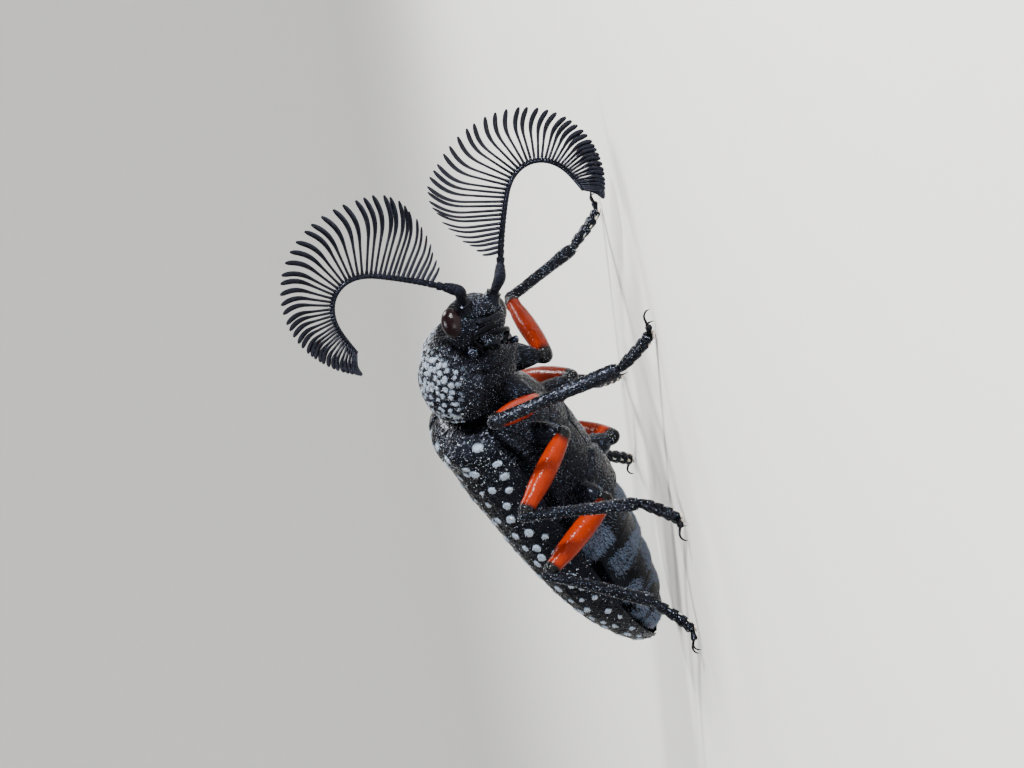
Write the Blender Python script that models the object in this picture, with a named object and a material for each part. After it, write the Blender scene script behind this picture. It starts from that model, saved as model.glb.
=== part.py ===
"""A life-size feather-horned beetle, a male, standing on six legs with its head twisted to its right.

Lengths are metres. The beetle faces -Y, its right side is -X, and the floor is the plane z = 0.
"""

import math

import bmesh
import bpy
import numpy as np
from mathutils import Matrix, Vector

MM = 0.001
GAP = 0.26 * MM  # between the faces of two pieces that meet
SNAP = 0.001 * MM  # corners this near to a cutting plane are moved onto it

# How the body is held: the trunk leans back from the waist, and the forebody bends down again.
WAIST_FORWARD = 7.1 * MM
WAIST_HEIGHT = 8.15 * MM
TRUNK_PITCH = math.radians(25.5)
TRUNK_ROLL = math.radians(15)
PROTHORAX_DROOP = math.radians(31)
PROTHORAX_YAW = math.radians(12)
PROTHORAX_TWIST = math.radians(3)
FACE_LOOKS = (0.38, 0.74, -0.55)  # forward, right, up
VERTEX_POINTS = (0.9, -0.35, 0.15)
TRUNK_REACH = 3.0  # how far behind the waist the sections still lean with it
PROTHORAX_REACH = 2.2
CENTRE_SHIFT = (0.05, -6.24)  # right, forward: brings the middle of the whole model over the origin

# Trunk: behind the waist, half width, back above and belly below the line of the elytral margins.
TRUNK_SECTIONS = (
    (0.0, 2.1, 1.7, 1.7),
    (0.9, 3.2, 2.8, 2.4),
    (2.6, 3.5, 3.1, 2.9),
    (6.0, 3.5, 3.05, 3.0),
    (9.0, 3.6, 2.85, 2.7),
    (12.0, 3.2, 2.3, 2.1),
    (14.2, 2.3, 1.6, 1.5),
    (15.5, 1.3, 1.0, 0.9),
    (16.2, 0.5, 0.5, 0.5),
)
ELYTRA_FROM = 0.3
ELYTRA_TO = 16.2
ELYTRON_THICK = 0.55
MARGIN_DROP = math.radians(12)  # how far the elytral edge wraps below the widest line
THORAX_TO = 7.8
VENTRITE_ENDS = (9.7, 11.3, 12.8, 14.2, 15.6)
FLANK_INSET = 0.2  # how far the elytral edge stands out over the flank below it
TRUNK_STEP = 0.75  # between the rings of the trunk and of the elytra
SCUTELLUM = (0.5, 1.0)  # half width and length

# Prothorax: ahead of the waist, half width, back and breast.
PROTHORAX_SECTIONS = (
    (0.26, 2.65, 2.0, 1.5),
    (0.9, 2.95, 2.5, 2.0),
    (2.0, 2.7, 2.65, 2.1),
    (3.0, 2.15, 2.3, 1.8),
    (3.6, 1.65, 1.7, 1.4),
)

# Head, in its own frame: x to its left, y backward, z to the vertex.
HEAD_MIDDLE = (-0.5, 1.3, -0.3)  # from the front of the prothorax: left, ahead, up
HEAD_HALF = (1.6, 1.25, 1.34)
EYE_PLANE = 1.24
EYE_HALF = (0.62, 0.6, 0.78)
EYE_AT = (-0.12, 0.22)
MOUTH_PLANE = 1.02
CLYPEUS_LINE = ((-0.5, 0), (-0.75, -0.6), (-0.78, -1.4))
CLYPEUS_HALF = ((0.35, 0.6), (0.5, 0.85), (0.35, 0.7))
MANDIBLE_LINE = ((0.4, -0.76, 0), (0.46, -0.84, -0.2), (0.4, -0.92, -0.4), (0.25, -0.96, -0.52))
MANDIBLE_RADII = (0.26, 0.26, 0.2, 0.12)  # along the line, which starts on the mouth's plane
MANDIBLE_FLAT = 0.9
PALP_LINE = ((0.86, -0.26, 0), (0.95, -0.36, -0.12), (1.18, -0.6, -0.15), (1.4, -0.9, -0.16))
PALP_RADII = (0.22, 0.24, 0.25, 0.16)
SOCKET_ROOT = (0.75, -0.5, 0.5)
SOCKET_TIP = (1.02, -0.95, 1.05)
SOCKET_RADII = (0.5, 0.36)
SCAPE_LENGTH = 1.05
SCAPE_RADII = (0.34, 0.42, 0.36, 0.3)

# Antennae: heading of the stem in the fan's plane, in degrees above forward, and the vanes.
STEM_LENGTH = 8.2
STEM_STEPS = 400
STEM_RADIUS = (0.33, 0.27, 0.2)
VANES = 13
VANE_FROM = 0.1
VANE_ROOT = (0.18, 0.28)  # half thickness in the fan's plane, half width across it
VANE_TIP = (0.14, 0.26)
VANE_BEND = 42
FAN_SPLIT = 0.56
ANTENNAE = {
    "right": {"facing": (0.41, 0.88, -0.1), "start": 68, "drift": 20, "turn": 122, "curl": 0.32},
    "left": {"facing": (0.52, 0.84, 0.05), "start": -13, "drift": -18, "turn": -122, "curl": 0.34},
}

# Legs: knee from the coxa and ankle from the knee (forward, to its own side, up), heading on the floor.
LEGS = {
    ("fore", "right"): {"knee": (0.6, 3.9, 2.2), "ankle": (1.6, 0.3), "heading": (0.9, 0.3)},
    ("mid", "right"): {"knee": (-2.4, 3.4, 2.5), "ankle": (-0.3, 0.3), "heading": (-0.25, 1)},
    ("hind", "right"): {"knee": (-2.1, 3.0, 3.3), "ankle": (-2.1, 0.6), "heading": (-0.8, 0.6)},
    ("fore", "left"): {"knee": (1.7, 4.1, 0.6), "ankle": (1.2, 2.2), "heading": (0.8, 0.6)},
    ("mid", "left"): {"knee": (-0.86, 4.06, 2.06), "ankle": (-1.54, 1.34), "heading": (-0.3, 1)},
    ("hind", "left"): {"knee": (-0.55, 4.26, 2.36), "ankle": (-2.35, 1.24), "heading": (-0.7, 0.7)},
}
COXA_PLACES = {
    "fore": ((0.9, -1.5, -0.9), (1.4, -1.2, -2.6)),
    "mid": ((1.3, 2.8, -1.2), (2.4, 2.85, -2.85)),
    "hind": ((1.4, 6.2, -1.3), (2.6, 6.7, -2.75)),
}
COXA_RADIUS = {"fore": 0.85, "mid": 0.95, "hind": 0.95}
COXA_TIP_RADIUS = 0.5
TROCHANTER_RADII = (0.36, 0.4)
FEMUR_RADIUS = {"fore": 0.52, "mid": 0.55, "hind": 0.58}
FEMUR_SHAPE = (0.93, 1, 0.9, 0.76)  # its radii as shares of the thickest, from hip to knee
FEMUR_SHARES = (0.25, 0.5, 0.7, 0.82)
TIBIA_SHARES = (0.15, 0.4, 0.7, 0.92, 1.0)
TIBIA_RADII = (0.3, 0.3, 0.29, 0.33, 0.37, 0.3)
KNEE_RADIUS = 0.3
TARSUS_REACH = 2.25
ANKLE_HEIGHT = 1.9
FOOT_HEIGHT = 0.2
CLAW_LINE = ((0.1, 0.14), (0.42, 0.17), (0.64, 0.04), (0.7, -0.08))  # outward and up from its root
CLAW_RADII = (0.13, 0.13, 0.12, 0.1, 0.07)
CLAW_SPREAD = 0.165
SIDES = {"right": 1, "left": -1}


def direction(forward, right, up):
    """A direction in the beetle's own words, as a row vector."""
    return Vector((-right, -forward, up)).normalized()


def place(forward, right, up):
    """A point in the beetle's own words, in millimetres, as a row vector in metres."""
    return Vector(((-right - CENTRE_SHIFT[0]) * MM, (-forward - CENTRE_SHIFT[1]) * MM, up * MM))


def trunk_frame():
    origin = place(WAIST_FORWARD / MM, 0, WAIST_HEIGHT / MM)
    return (
        Matrix.Translation(origin)
        @ Matrix.Rotation(-TRUNK_PITCH, 4, "X")
        @ Matrix.Rotation(TRUNK_ROLL, 4, "Y")
    )


def forebody_frame(share):
    """The trunk's frame bent by a share of the whole bend at the waist."""
    return (
        TRUNK
        @ Matrix.Rotation(PROTHORAX_DROOP * share, 4, "X")
        @ Matrix.Rotation(-PROTHORAX_YAW * share, 4, "Z")
        @ Matrix.Rotation(PROTHORAX_TWIST * share, 4, "Y")
    )


def settle(point, frame, reach):
    """Carries a point in millimetres from the waist's own slant over to the frame behind or ahead."""
    share = smooth_step(abs(point[1]) / reach)
    point = Vector(point) * MM
    return (WAIST @ point).lerp(frame @ point, share)


def head_frame():
    back = -direction(*FACE_LOOKS)
    up = direction(*VERTEX_POINTS)
    up = (up - up.dot(back) * back).normalized()
    left = back.cross(up)
    aside, ahead, high = HEAD_MIDDLE
    middle = PROTHORAX @ (Vector((aside, -PROTHORAX_SECTIONS[-1][0] - ahead, high)) * MM)
    turn = Matrix((left, back, up)).transposed().to_4x4()
    return Matrix.Translation(middle) @ turn


def material(name, colour, roughness, metallic=0.0):
    made = bpy.data.materials.new(name)
    made.use_nodes = True
    shader = made.node_tree.nodes["Principled BSDF"]
    shader.inputs["Base Color"].default_value = (*colour, 1.0)
    shader.inputs["Roughness"].default_value = roughness
    shader.inputs["Metallic"].default_value = metallic
    return made


def finish(mesh_data, name, finish_material):
    """Puts a bmesh into the scene as one named object with its faces out and its round sides smooth."""
    bmesh.ops.recalc_face_normals(mesh_data, faces=mesh_data.faces)
    mesh = bpy.data.meshes.new(name)
    mesh_data.to_mesh(mesh)
    mesh_data.free()
    mesh.materials.append(finish_material)
    mesh.shade_smooth()
    mesh.set_sharp_from_angle(angle=math.radians(50))
    piece = bpy.data.objects.new(name, mesh)
    bpy.context.scene.collection.objects.link(piece)
    return piece


def loft(name, rings, finish_material):
    """A closed solid through rings of points, with a flat cap on the first and the last."""
    built = bmesh.new()
    rows = [[built.verts.new(point) for point in ring] for ring in rings]
    count = len(rows[0])
    for row, following in zip(rows, rows[1:]):
        for i in range(count):
            j = (i + 1) % count
            built.faces.new((row[i], row[j], following[j], following[i]))
    built.faces.new(rows[0])
    built.faces.new(reversed(rows[-1]))
    return finish(built, name, finish_material)


def sweep(name, path, sizes, sides, hint, finish_material, ends=(None, None)):
    """A tube along a path, its rings square to it or to the ends, with half sizes along and across hint."""
    rings = []
    for i, point in enumerate(path):
        ahead = (path[min(i + 1, len(path) - 1)] - path[max(i - 1, 0)]).normalized()
        if i == 0:
            ahead = ends[0] or ahead
        elif i == len(path) - 1:
            ahead = ends[1] or ahead
        across = ahead.cross(hint).normalized()
        along = across.cross(ahead)
        high, wide = sizes[i]
        angles = [2 * math.pi * (k + 0.5) / sides for k in range(sides)]
        rings.append(
            [point + along * high * math.cos(a) + across * wide * math.sin(a) for a in angles]
        )
    return loft(name, rings, finish_material)


def ellipsoid(name, frame, middle, half, finish_material, across=16, along=10):
    built = bmesh.new()
    bmesh.ops.create_uvsphere(built, u_segments=across, v_segments=along, radius=MM)
    stretch = Matrix.Diagonal((*half, 1.0))
    built.transform(frame @ Matrix.Translation(Vector(middle) * MM) @ stretch)
    return finish(built, name, finish_material)


def keep_largest(piece):
    """Drops every closed surface of the mesh but the one that holds the most."""
    built = bmesh.new()
    built.from_mesh(piece.data)
    unseen = set(built.verts)
    shells = []
    while unseen:
        shell, reach = set(), [next(iter(unseen))]
        while reach:
            vert = reach.pop()
            if vert not in shell:
                shell.add(vert)
                reach += [edge.other_vert(vert) for edge in vert.link_edges]
        unseen -= shell
        shells.append(shell)
    spans = [max((a.co - next(iter(s)).co).length for a in s) for s in shells]
    largest = shells[spans.index(max(spans))]
    loose = [vert for vert in built.verts if vert not in largest]
    bmesh.ops.delete(built, geom=loose, context="VERTS")
    built.to_mesh(piece.data)
    built.free()


def boolean(body, others, operation):
    """Applies one Boolean of the other objects to the body, then removes them."""
    group = bpy.data.collections.new(body.name + "_tools")
    bpy.context.scene.collection.children.link(group)
    for other in others:
        group.objects.link(other)
        bpy.context.scene.collection.objects.unlink(other)
    modifier = body.modifiers.new("joined", "BOOLEAN")
    modifier.operation = operation
    modifier.operand_type = "COLLECTION"
    modifier.collection = group
    modifier.solver = "EXACT"
    graph = bpy.context.evaluated_depsgraph_get()
    joined = bpy.data.meshes.new_from_object(body.evaluated_get(graph))
    body.modifiers.remove(modifier)
    body.data = joined
    for other in others:
        bpy.data.objects.remove(other)
    bpy.data.collections.remove(group)
    keep_largest(body)
    return body


def cut_flat(piece, point, outward):
    """Takes off all that lies past a plane and closes the solid with a flat face there."""
    built = bmesh.new()
    built.from_mesh(piece.data)
    everything = built.verts[:] + built.edges[:] + built.faces[:]
    bmesh.ops.bisect_plane(
        built, geom=everything, plane_co=point, plane_no=outward, clear_outer=True, dist=SNAP
    )
    rim = [edge for edge in built.edges if edge.is_boundary]
    for vert in {vert for edge in rim for vert in edge.verts}:
        vert.co -= outward * (vert.co - point).dot(outward)
    bmesh.ops.holes_fill(built, edges=rim, sides=0)
    bmesh.ops.recalc_face_normals(built, faces=built.faces)
    built.to_mesh(piece.data)
    built.free()
    return piece


def smooth_step(t):
    t = min(max(t, 0.0), 1.0)
    return t * t * (3 - 2 * t)


def section(table, at):
    """Sizes between the stations of a table, on a smooth curve through them."""
    stations = np.array(table)
    grades = np.gradient(stations[:, 1:], stations[:, 0], axis=0)
    i = int(np.clip(np.searchsorted(stations[:, 0], at) - 1, 0, len(stations) - 2))
    run = stations[i + 1, 0] - stations[i, 0]
    t = (at - stations[i, 0]) / run
    return (
        (2 * t**3 - 3 * t**2 + 1) * stations[i, 1:]
        + (t**3 - 2 * t**2 + t) * run * grades[i]
        + (3 * t**2 - 2 * t**3) * stations[i + 1, 1:]
        + (t**3 - t**2) * run * grades[i + 1]
    )


def rounded(angle, wide, high, power=2.25):
    """A point of a full, slightly squared oval: sideways and upward."""
    c, s = math.cos(angle), math.sin(angle)
    return (
        wide * math.copysign(abs(c) ** (2 / power), c),
        high * math.copysign(abs(s) ** (2 / power), s),
    )


def trunk_ring(behind, sides=24):
    """The trunk below the elytra: the elytra's inner side above, the belly below."""
    wide, back, belly = section(TRUNK_SECTIONS, behind)
    under = ELYTRON_THICK + 1.3 * GAP / MM
    flank = min(under - FLANK_INSET, wide / 4)
    ring = []
    for k in range(sides):
        angle = 2 * math.pi * k / sides
        high = belly if math.sin(angle) < 0 else max(back - under, 0.2)
        out = smooth_step((-math.sin(angle) - math.sin(MARGIN_DROP) - 0.1) / 0.2)
        x, z = rounded(angle, max(wide - under + flank * out, 0.3), high)
        ring.append(settle((x, behind, z), TRUNK, TRUNK_REACH))
    return ring


def elytron_ring(behind, side, steps=9):
    """One elytron's section: out along its back from the suture to the edge, and back inside."""
    wide, back, _ = section(TRUNK_SECTIONS, behind)
    inner_wide = max(wide - ELYTRON_THICK, 0.12)
    inner_back = max(back - ELYTRON_THICK, 0.12)
    angles = [math.pi / 2 - (math.pi / 2 + MARGIN_DROP) * k / steps for k in range(steps + 1)]
    outer = [rounded(a, wide, back) for a in angles]
    inner = [rounded(a, inner_wide, inner_back) for a in reversed(angles)]
    suture = GAP / MM / 2
    ring = [(max(x, suture) * side, z) for x, z in outer + inner]
    return [settle((-x, behind, z), TRUNK, TRUNK_REACH) for x, z in ring]


def prothorax_ring(ahead, sides=24):
    wide, back, breast = section(PROTHORAX_SECTIONS, ahead)
    ring = []
    for k in range(sides):
        angle = 2 * math.pi * k / sides
        x, z = rounded(angle, wide, breast if math.sin(angle) < 0 else back)
        ring.append(settle((x, -ahead, z), PROTHORAX, PROTHORAX_REACH))
    return ring


def stations(first, last, step):
    """Both ends and the whole multiples of the step that lie well between them."""
    steps = [k * step for k in range(math.ceil(last / step))]
    return [first] + [s for s in steps if first + step / 3 < s < last - step / 3] + [last]


def cone(name, root, tip, root_radius, tip_radius, finish_material, sides=10):
    """A socket or coxa: fat at its sunk root, flat at its tip."""
    path = [root.lerp(tip, t) for t in (0, 0.5, 1)]
    middle = root_radius * 0.55 + tip_radius * 0.45
    sizes = [(r, r) for r in (root_radius, middle * 1.06, tip_radius)]
    return sweep(name, path, sizes, sides, Vector((0.3, 0.2, 1)), finish_material)


def coxa_points(pair, side):
    """Sunk root and flat tip of a coxa, on the breast or on the trunk."""
    root, tip, frame = COXAE[pair]
    flip = -SIDES[side]
    return [frame @ (Vector((x * flip, y, z)) * MM) for x, y, z in (root, tip)]


def coxa_radii(pair):
    return COXA_RADIUS[pair] * MM, COXA_TIP_RADIUS * MM


def trunk_pieces():
    body = loft("pterothorax", [trunk_ring(b) for b in stations(0, THORAX_TO, TRUNK_STEP)], CUTICLE)
    coxae = []
    for pair in ("mid", "hind"):
        for side in SIDES:
            root, tip = coxa_points(pair, side)
            coxae.append(cone(f"coxa_{pair}_{side}", root, tip, *coxa_radii(pair), CUTICLE))
    boolean(body, coxae, "UNION")
    start = THORAX_TO
    for number, end in enumerate(VENTRITE_ENDS, 1):
        begin = start + GAP / MM
        loft(f"ventrite_{number}", [trunk_ring(b) for b in stations(begin, end, TRUNK_STEP)], CUTICLE)
        start = end


def elytra_pieces():
    half, long = SCUTELLUM
    tip = ELYTRA_FROM + long
    shape = [(-half, ELYTRA_FROM), (half, ELYTRA_FROM), (0.12, tip), (-0.12, tip)]
    layers = []
    for lift in (0.2 - ELYTRON_THICK, 0.1):
        tops = [section(TRUNK_SECTIONS, y)[1] + lift for _, y in shape]
        layers.append([settle((x, y, z), TRUNK, TRUNK_REACH) for (x, y), z in zip(shape, tops)])
    loft("scutellum", layers, CUTICLE)
    grown = GAP / MM
    wide = [
        (-half - grown * 1.3, ELYTRA_FROM - 1),
        (half + grown * 1.3, ELYTRA_FROM - 1),
        (half + grown * 1.3, ELYTRA_FROM),
        (0.12 + grown, tip + grown),
        (-0.12 - grown, tip + grown),
        (-half - grown * 1.3, ELYTRA_FROM),
    ]
    for side, sign in SIDES.items():
        rings = [elytron_ring(b, sign) for b in stations(ELYTRA_FROM, ELYTRA_TO, TRUNK_STEP)]
        elytron = loft(f"elytron_{side}", rings, ELYTRA)
        layers = [[settle((x, y, z), TRUNK, TRUNK_REACH) for x, y in wide] for z in (0, 4)]
        boolean(elytron, [loft(f"notch_{side}", layers, ELYTRA)], "DIFFERENCE")


def prothorax_pieces():
    ends = PROTHORAX_SECTIONS[0][0], PROTHORAX_SECTIONS[-1][0]
    body = loft("prothorax", [prothorax_ring(a) for a in stations(*ends, 0.5)], CUTICLE)
    coxae = []
    for side in SIDES:
        root, tip = coxa_points("fore", side)
        coxae.append(cone(f"coxa_fore_{side}", root, tip, *coxa_radii("fore"), CUTICLE))
    boolean(body, coxae, "UNION")


def head_point(x, y, z, side="left"):
    return HEAD @ (Vector((x * -SIDES[side], y, z)) * MM)


def head_pieces():
    capsule = ellipsoid("head", HEAD, (0, 0, 0), HEAD_HALF, CUTICLE, 20, 12)
    clypeus_path = [head_point(0, y, z) for y, z in CLYPEUS_LINE]
    clypeus_sizes = [(high * MM, wide * MM) for high, wide in CLYPEUS_HALF]
    outward = HEAD.to_3x3() @ Vector((0, -1, 0))
    clypeus = sweep("clypeus", clypeus_path, clypeus_sizes, 12, outward, CUTICLE)
    sockets = [
        cone(
            f"socket_{side}",
            head_point(*SOCKET_ROOT, side),
            head_point(*SOCKET_TIP, side),
            *[radius * MM for radius in SOCKET_RADII],
            CUTICLE,
        )
        for side in SIDES
    ]
    boolean(capsule, [clypeus, *sockets], "UNION")
    neck = PROTHORAX @ (Vector((0, -(PROTHORAX_SECTIONS[-1][0] + GAP / MM), 0)) * MM)
    cut_flat(capsule, neck, PROTHORAX.to_3x3() @ Vector((0, 1, 0)))
    cut_flat(capsule, head_point(0, 0, -MOUTH_PLANE), HEAD.to_3x3() @ Vector((0, 0, -1)))
    for side in SIDES:
        outward = HEAD.to_3x3() @ Vector((-SIDES[side], 0, 0))
        cut_flat(capsule, head_point(EYE_PLANE, 0, 0, side), outward)
        y, z = EYE_AT
        flip = -SIDES[side]
        eye = ellipsoid(f"eye_{side}", HEAD, (flip * EYE_PLANE, y, z), EYE_HALF, EYE, 16, 10)
        cut_flat(eye, head_point(EYE_PLANE + GAP / MM, 0, 0, side), -outward)
        mouth_pieces(side)


def mouth_pieces(side):
    """A mandible that curves in under the labrum, and a palp beside it."""
    low = MOUTH_PLANE + GAP / MM
    arc = [head_point(x, y, z - low, side) for x, y, z in MANDIBLE_LINE]
    sizes = [(r * MM, r * MANDIBLE_FLAT * MM) for r in MANDIBLE_RADII]
    hint = HEAD.to_3x3() @ Vector((0, -1, 0))
    ends = (HEAD.to_3x3() @ Vector((0, 0, -1)), None)
    sweep(f"mandible_{side}", arc, sizes, 8, hint, HORN, ends)
    path = [head_point(x, y, z - low, side) for x, y, z in PALP_LINE]
    sizes = [(r * MM, r * MM) for r in PALP_RADII]
    sweep(f"palp_{side}", path, sizes, 8, hint, CUTICLE, ends)


def fan_axes(facing):
    """Forward and up in the plane of a fan that faces the given way."""
    out = direction(*facing)
    up = (Vector((0, 0, 1)) - out.z * out).normalized()
    forward = up.cross(out)
    return (forward if forward.dot(Vector((0, -1, 0))) > 0 else -forward), up, out


def fan_direction(antenna, angle):
    forward, up, _ = fan_axes(antenna["facing"])
    return forward * math.cos(angle) + up * math.sin(angle)


def stem_heading(antenna, u):
    return math.radians(
        antenna["start"]
        + antenna["drift"] * u
        + antenna["turn"] * smooth_step((u - antenna["curl"]) / 0.6)
    )


def stem_points(antenna, origin, steps=STEM_STEPS):
    """The stem, from its heading summed along its length."""
    points = [origin.copy()]
    for i in range(steps):
        ahead = fan_direction(antenna, stem_heading(antenna, (i + 0.5) / steps))
        points.append(points[-1] + ahead * STEM_LENGTH * MM / steps)
    return points


def vane_length(u):
    """Short at the base of the fan, longest past the middle, shorter again at its end."""
    rise = smooth_step((u + 0.05) / 0.4)
    fall = 1 - 0.7 * max(u - 0.36, 0) / 0.64
    return (0.4 + 3.5 * rise) * fall


def vane_angle(u):
    """Degrees between a vane and the stem's heading."""
    return 118 - 45 * u - 35 * smooth_step((u - 0.86) / 0.14)


def vane(name, antenna, root, u):
    out = fan_axes(antenna["facing"])[2]
    turned = math.copysign(1, antenna["turn"])
    heading = stem_heading(antenna, u)
    length = vane_length(u)
    parts = 5
    path, sizes = [root - out * 0.02 * MM], []
    for i in range(parts + 1):
        t = i / parts
        sizes.append([(a + (b - a) * t) * MM for a, b in zip(VANE_ROOT, VANE_TIP)])
        if i == parts:
            break
        bend = VANE_BEND * smooth_step((t - 0.45) / 0.55)
        ahead = fan_direction(antenna, heading - turned * math.radians(vane_angle(u) - bend))
        path.append(path[-1] + (ahead + out * 0.22 * t) * length * MM / parts)
    sizes[-1] = [s * 0.6 for s in sizes[-1]]
    tall_across = [(wide, thin) for thin, wide in sizes]
    return sweep(name, path, tall_across, 4, out, FEELER)


def antenna_pieces(side):
    antenna = ANTENNAE[side]
    tip = head_point(*SOCKET_TIP, side)
    aim = (tip - head_point(*SOCKET_ROOT, side)).normalized()
    out = fan_axes(antenna["facing"])[2]
    ahead = fan_direction(antenna, stem_heading(antenna, 0))
    scape_start = tip + aim * GAP
    scape_end = scape_start + (aim + ahead * 1.6).normalized() * SCAPE_LENGTH * MM
    path = [scape_start, scape_start + aim * 0.35 * MM, scape_end - ahead * 0.4 * MM, scape_end]
    sizes = [(r * MM, r * MM) for r in SCAPE_RADII]
    sweep(f"scape_{side}", path, sizes, 10, out, FEELER, (aim, ahead))
    points = stem_points(antenna, scape_end + ahead * GAP)
    halves = {"inner": (0.0, FAN_SPLIT), "outer": (FAN_SPLIT, 1.0)}
    for half, (first, last) in halves.items():
        low = first + (GAP / MM / STEM_LENGTH if first else 0)
        steps = max(4, round((last - low) * 18))
        along = [low + (last - low) * i / steps for i in range(steps + 1)]
        path = [points[round(u * STEM_STEPS)] for u in along]
        sizes = [(np.interp(u, (0, 0.5, 1), STEM_RADIUS) * MM,) * 2 for u in along]
        ends = [fan_direction(antenna, stem_heading(antenna, u)) for u in (low, last)]
        stem = sweep(f"fan_{side}_{half}", path, sizes, 8, out, FEELER, ends)
        spread = [i / (VANES - 1) for i in range(VANES)]
        places = [VANE_FROM + (0.985 - VANE_FROM) * t * (1.2 - 0.2 * t) for t in spread]
        room = 0.25 / STEM_LENGTH
        vanes = [
            vane(f"vane_{i}", antenna, points[round(u * STEM_STEPS)], u)
            for i, u in enumerate(places)
            if low + room < u < last - (room if last < 1 else 0)
        ]
        boolean(stem, vanes, "UNION")


def leg_pieces(pair, side):
    leg = LEGS[pair, side]
    root, tip = coxa_points(pair, side)
    aim = (tip - root).normalized()
    start = tip + aim * GAP
    forward, out, up = leg["knee"]
    knee = start + Vector((-out * SIDES[side], -forward, up)) * MM
    forward, out = leg["ankle"]
    ankle = knee + Vector((-out * SIDES[side], -forward, 0)) * MM
    ankle.z = ANKLE_HEIGHT * MM
    forward, out = leg["heading"]
    flat = Vector((-out * SIDES[side], -forward, 0)).normalized()
    foot = ankle + flat * TARSUS_REACH * MM
    foot.z = FOOT_HEIGHT * MM
    thick = FEMUR_RADIUS[pair] * MM
    thigh = (knee - start).normalized()
    shin = (ankle - knee).normalized()
    bend = (thigh + shin).normalized()
    hint = thigh.cross(shin).normalized()
    mitre = 1 / max(thigh.dot(bend), 0.6)  # a slanting cut through the knee is this much wider

    path = [start, start + aim * 0.45 * MM + thigh * 0.1 * MM]
    path += [start.lerp(knee, t) + aim * (1 - t) * 0.5 * MM for t in FEMUR_SHARES]
    path += [knee - bend * GAP / 2]
    radii = [r * MM for r in TROCHANTER_RADII] + [thick * share for share in FEMUR_SHAPE]
    sizes = [(r, r) for r in radii] + [(KNEE_RADIUS * MM, KNEE_RADIUS * MM * mitre)]
    sweep(f"femur_{pair}_{side}", path, sizes, 12, hint, FEMUR, (aim, bend))

    path = [knee + bend * GAP / 2] + [knee.lerp(ankle, t) for t in TIBIA_SHARES]
    radii = [r * MM for r in TIBIA_RADII]
    sizes = [(radii[0], radii[0] * mitre)] + [(r, r) for r in radii[1:]]
    sweep(f"tibia_{pair}_{side}", path, sizes, 10, hint, CUTICLE, (bend, shin))
    tarsus_piece(f"tarsus_{pair}_{side}", ankle + shin * GAP, foot, flat, shin)


def tarsus_piece(name, ankle, foot, flat, shin):
    """Four lobed joints that come down on the floor, a slim last joint and two hooked claws."""
    start = ankle
    path, sizes = [start, start + shin * 0.15 * MM + flat * 0.12 * MM], [(0.26, 0.28), (0.3, 0.34)]
    for i in range(1, 9):
        t = i / 8
        drop = (path[1].z - foot.z) * max(1 - t * 1.3, 0) ** 1.3
        point = path[1].lerp(foot, t)
        path.append(Vector((point.x, point.y, foot.z + drop)))
        lobe = 0.33 if i % 2 == 0 else 0.29
        sizes.append((lobe, lobe * 1.2) if i < 7 else (0.25, 0.26))
    hint = Vector((0, 0, 1))
    sizes = [(a * MM, b * MM) for a, b in sizes]
    body = sweep(name, path, sizes, 10, hint, CUTICLE, (shin, flat))
    claws = []
    aside = flat.cross(hint)
    for turn in (1, -1):
        out = (flat + aside * 0.6 * turn).normalized()
        root = foot + aside * turn * CLAW_SPREAD * MM
        hook = [root - flat * 0.25 * MM] + [root + (out * a + hint * b) * MM for a, b in CLAW_LINE]
        radii = [(r * MM, r * MM) for r in CLAW_RADII]
        claws.append(sweep(f"{name}_claw", hook, radii, 6, aside, CUTICLE))
    boolean(body, claws, "UNION")
    cut_flat(body, Vector((0, 0, 0)), Vector((0, 0, -1)))


for old in list(bpy.data.objects):
    bpy.data.objects.remove(old)

CUTICLE = material("black cuticle", (0.012, 0.012, 0.016), 0.42)
ELYTRA = material("black elytra", (0.014, 0.014, 0.02), 0.4)
FEMUR = material("red femur", (0.72, 0.07, 0.012), 0.35)
EYE = material("brown compound eye", (0.05, 0.018, 0.016), 0.25)
FEELER = material("black antenna", (0.012, 0.012, 0.018), 0.35)
HORN = material("polished mandible", (0.01, 0.01, 0.012), 0.15)

TRUNK = trunk_frame()
WAIST = forebody_frame(0.5)
PROTHORAX = forebody_frame(1)
HEAD = head_frame()
COXAE = {
    pair: (*COXA_PLACES[pair], PROTHORAX if pair == "fore" else TRUNK) for pair in COXA_PLACES
}

trunk_pieces()
elytra_pieces()
prothorax_pieces()
head_pieces()
for body_side in SIDES:
    antenna_pieces(body_side)
    for leg_pair in FEMUR_RADIUS:
        leg_pieces(leg_pair, body_side)
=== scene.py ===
"""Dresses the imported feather-horned beetle as a life-size museum model on a pale floor.

Lengths are metres in the scene and millimetres in the tables. The beetle faces -Y, its right side is -X.
"""

import math

import bpy
import numpy as np
from mathutils import Matrix, Vector


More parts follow.
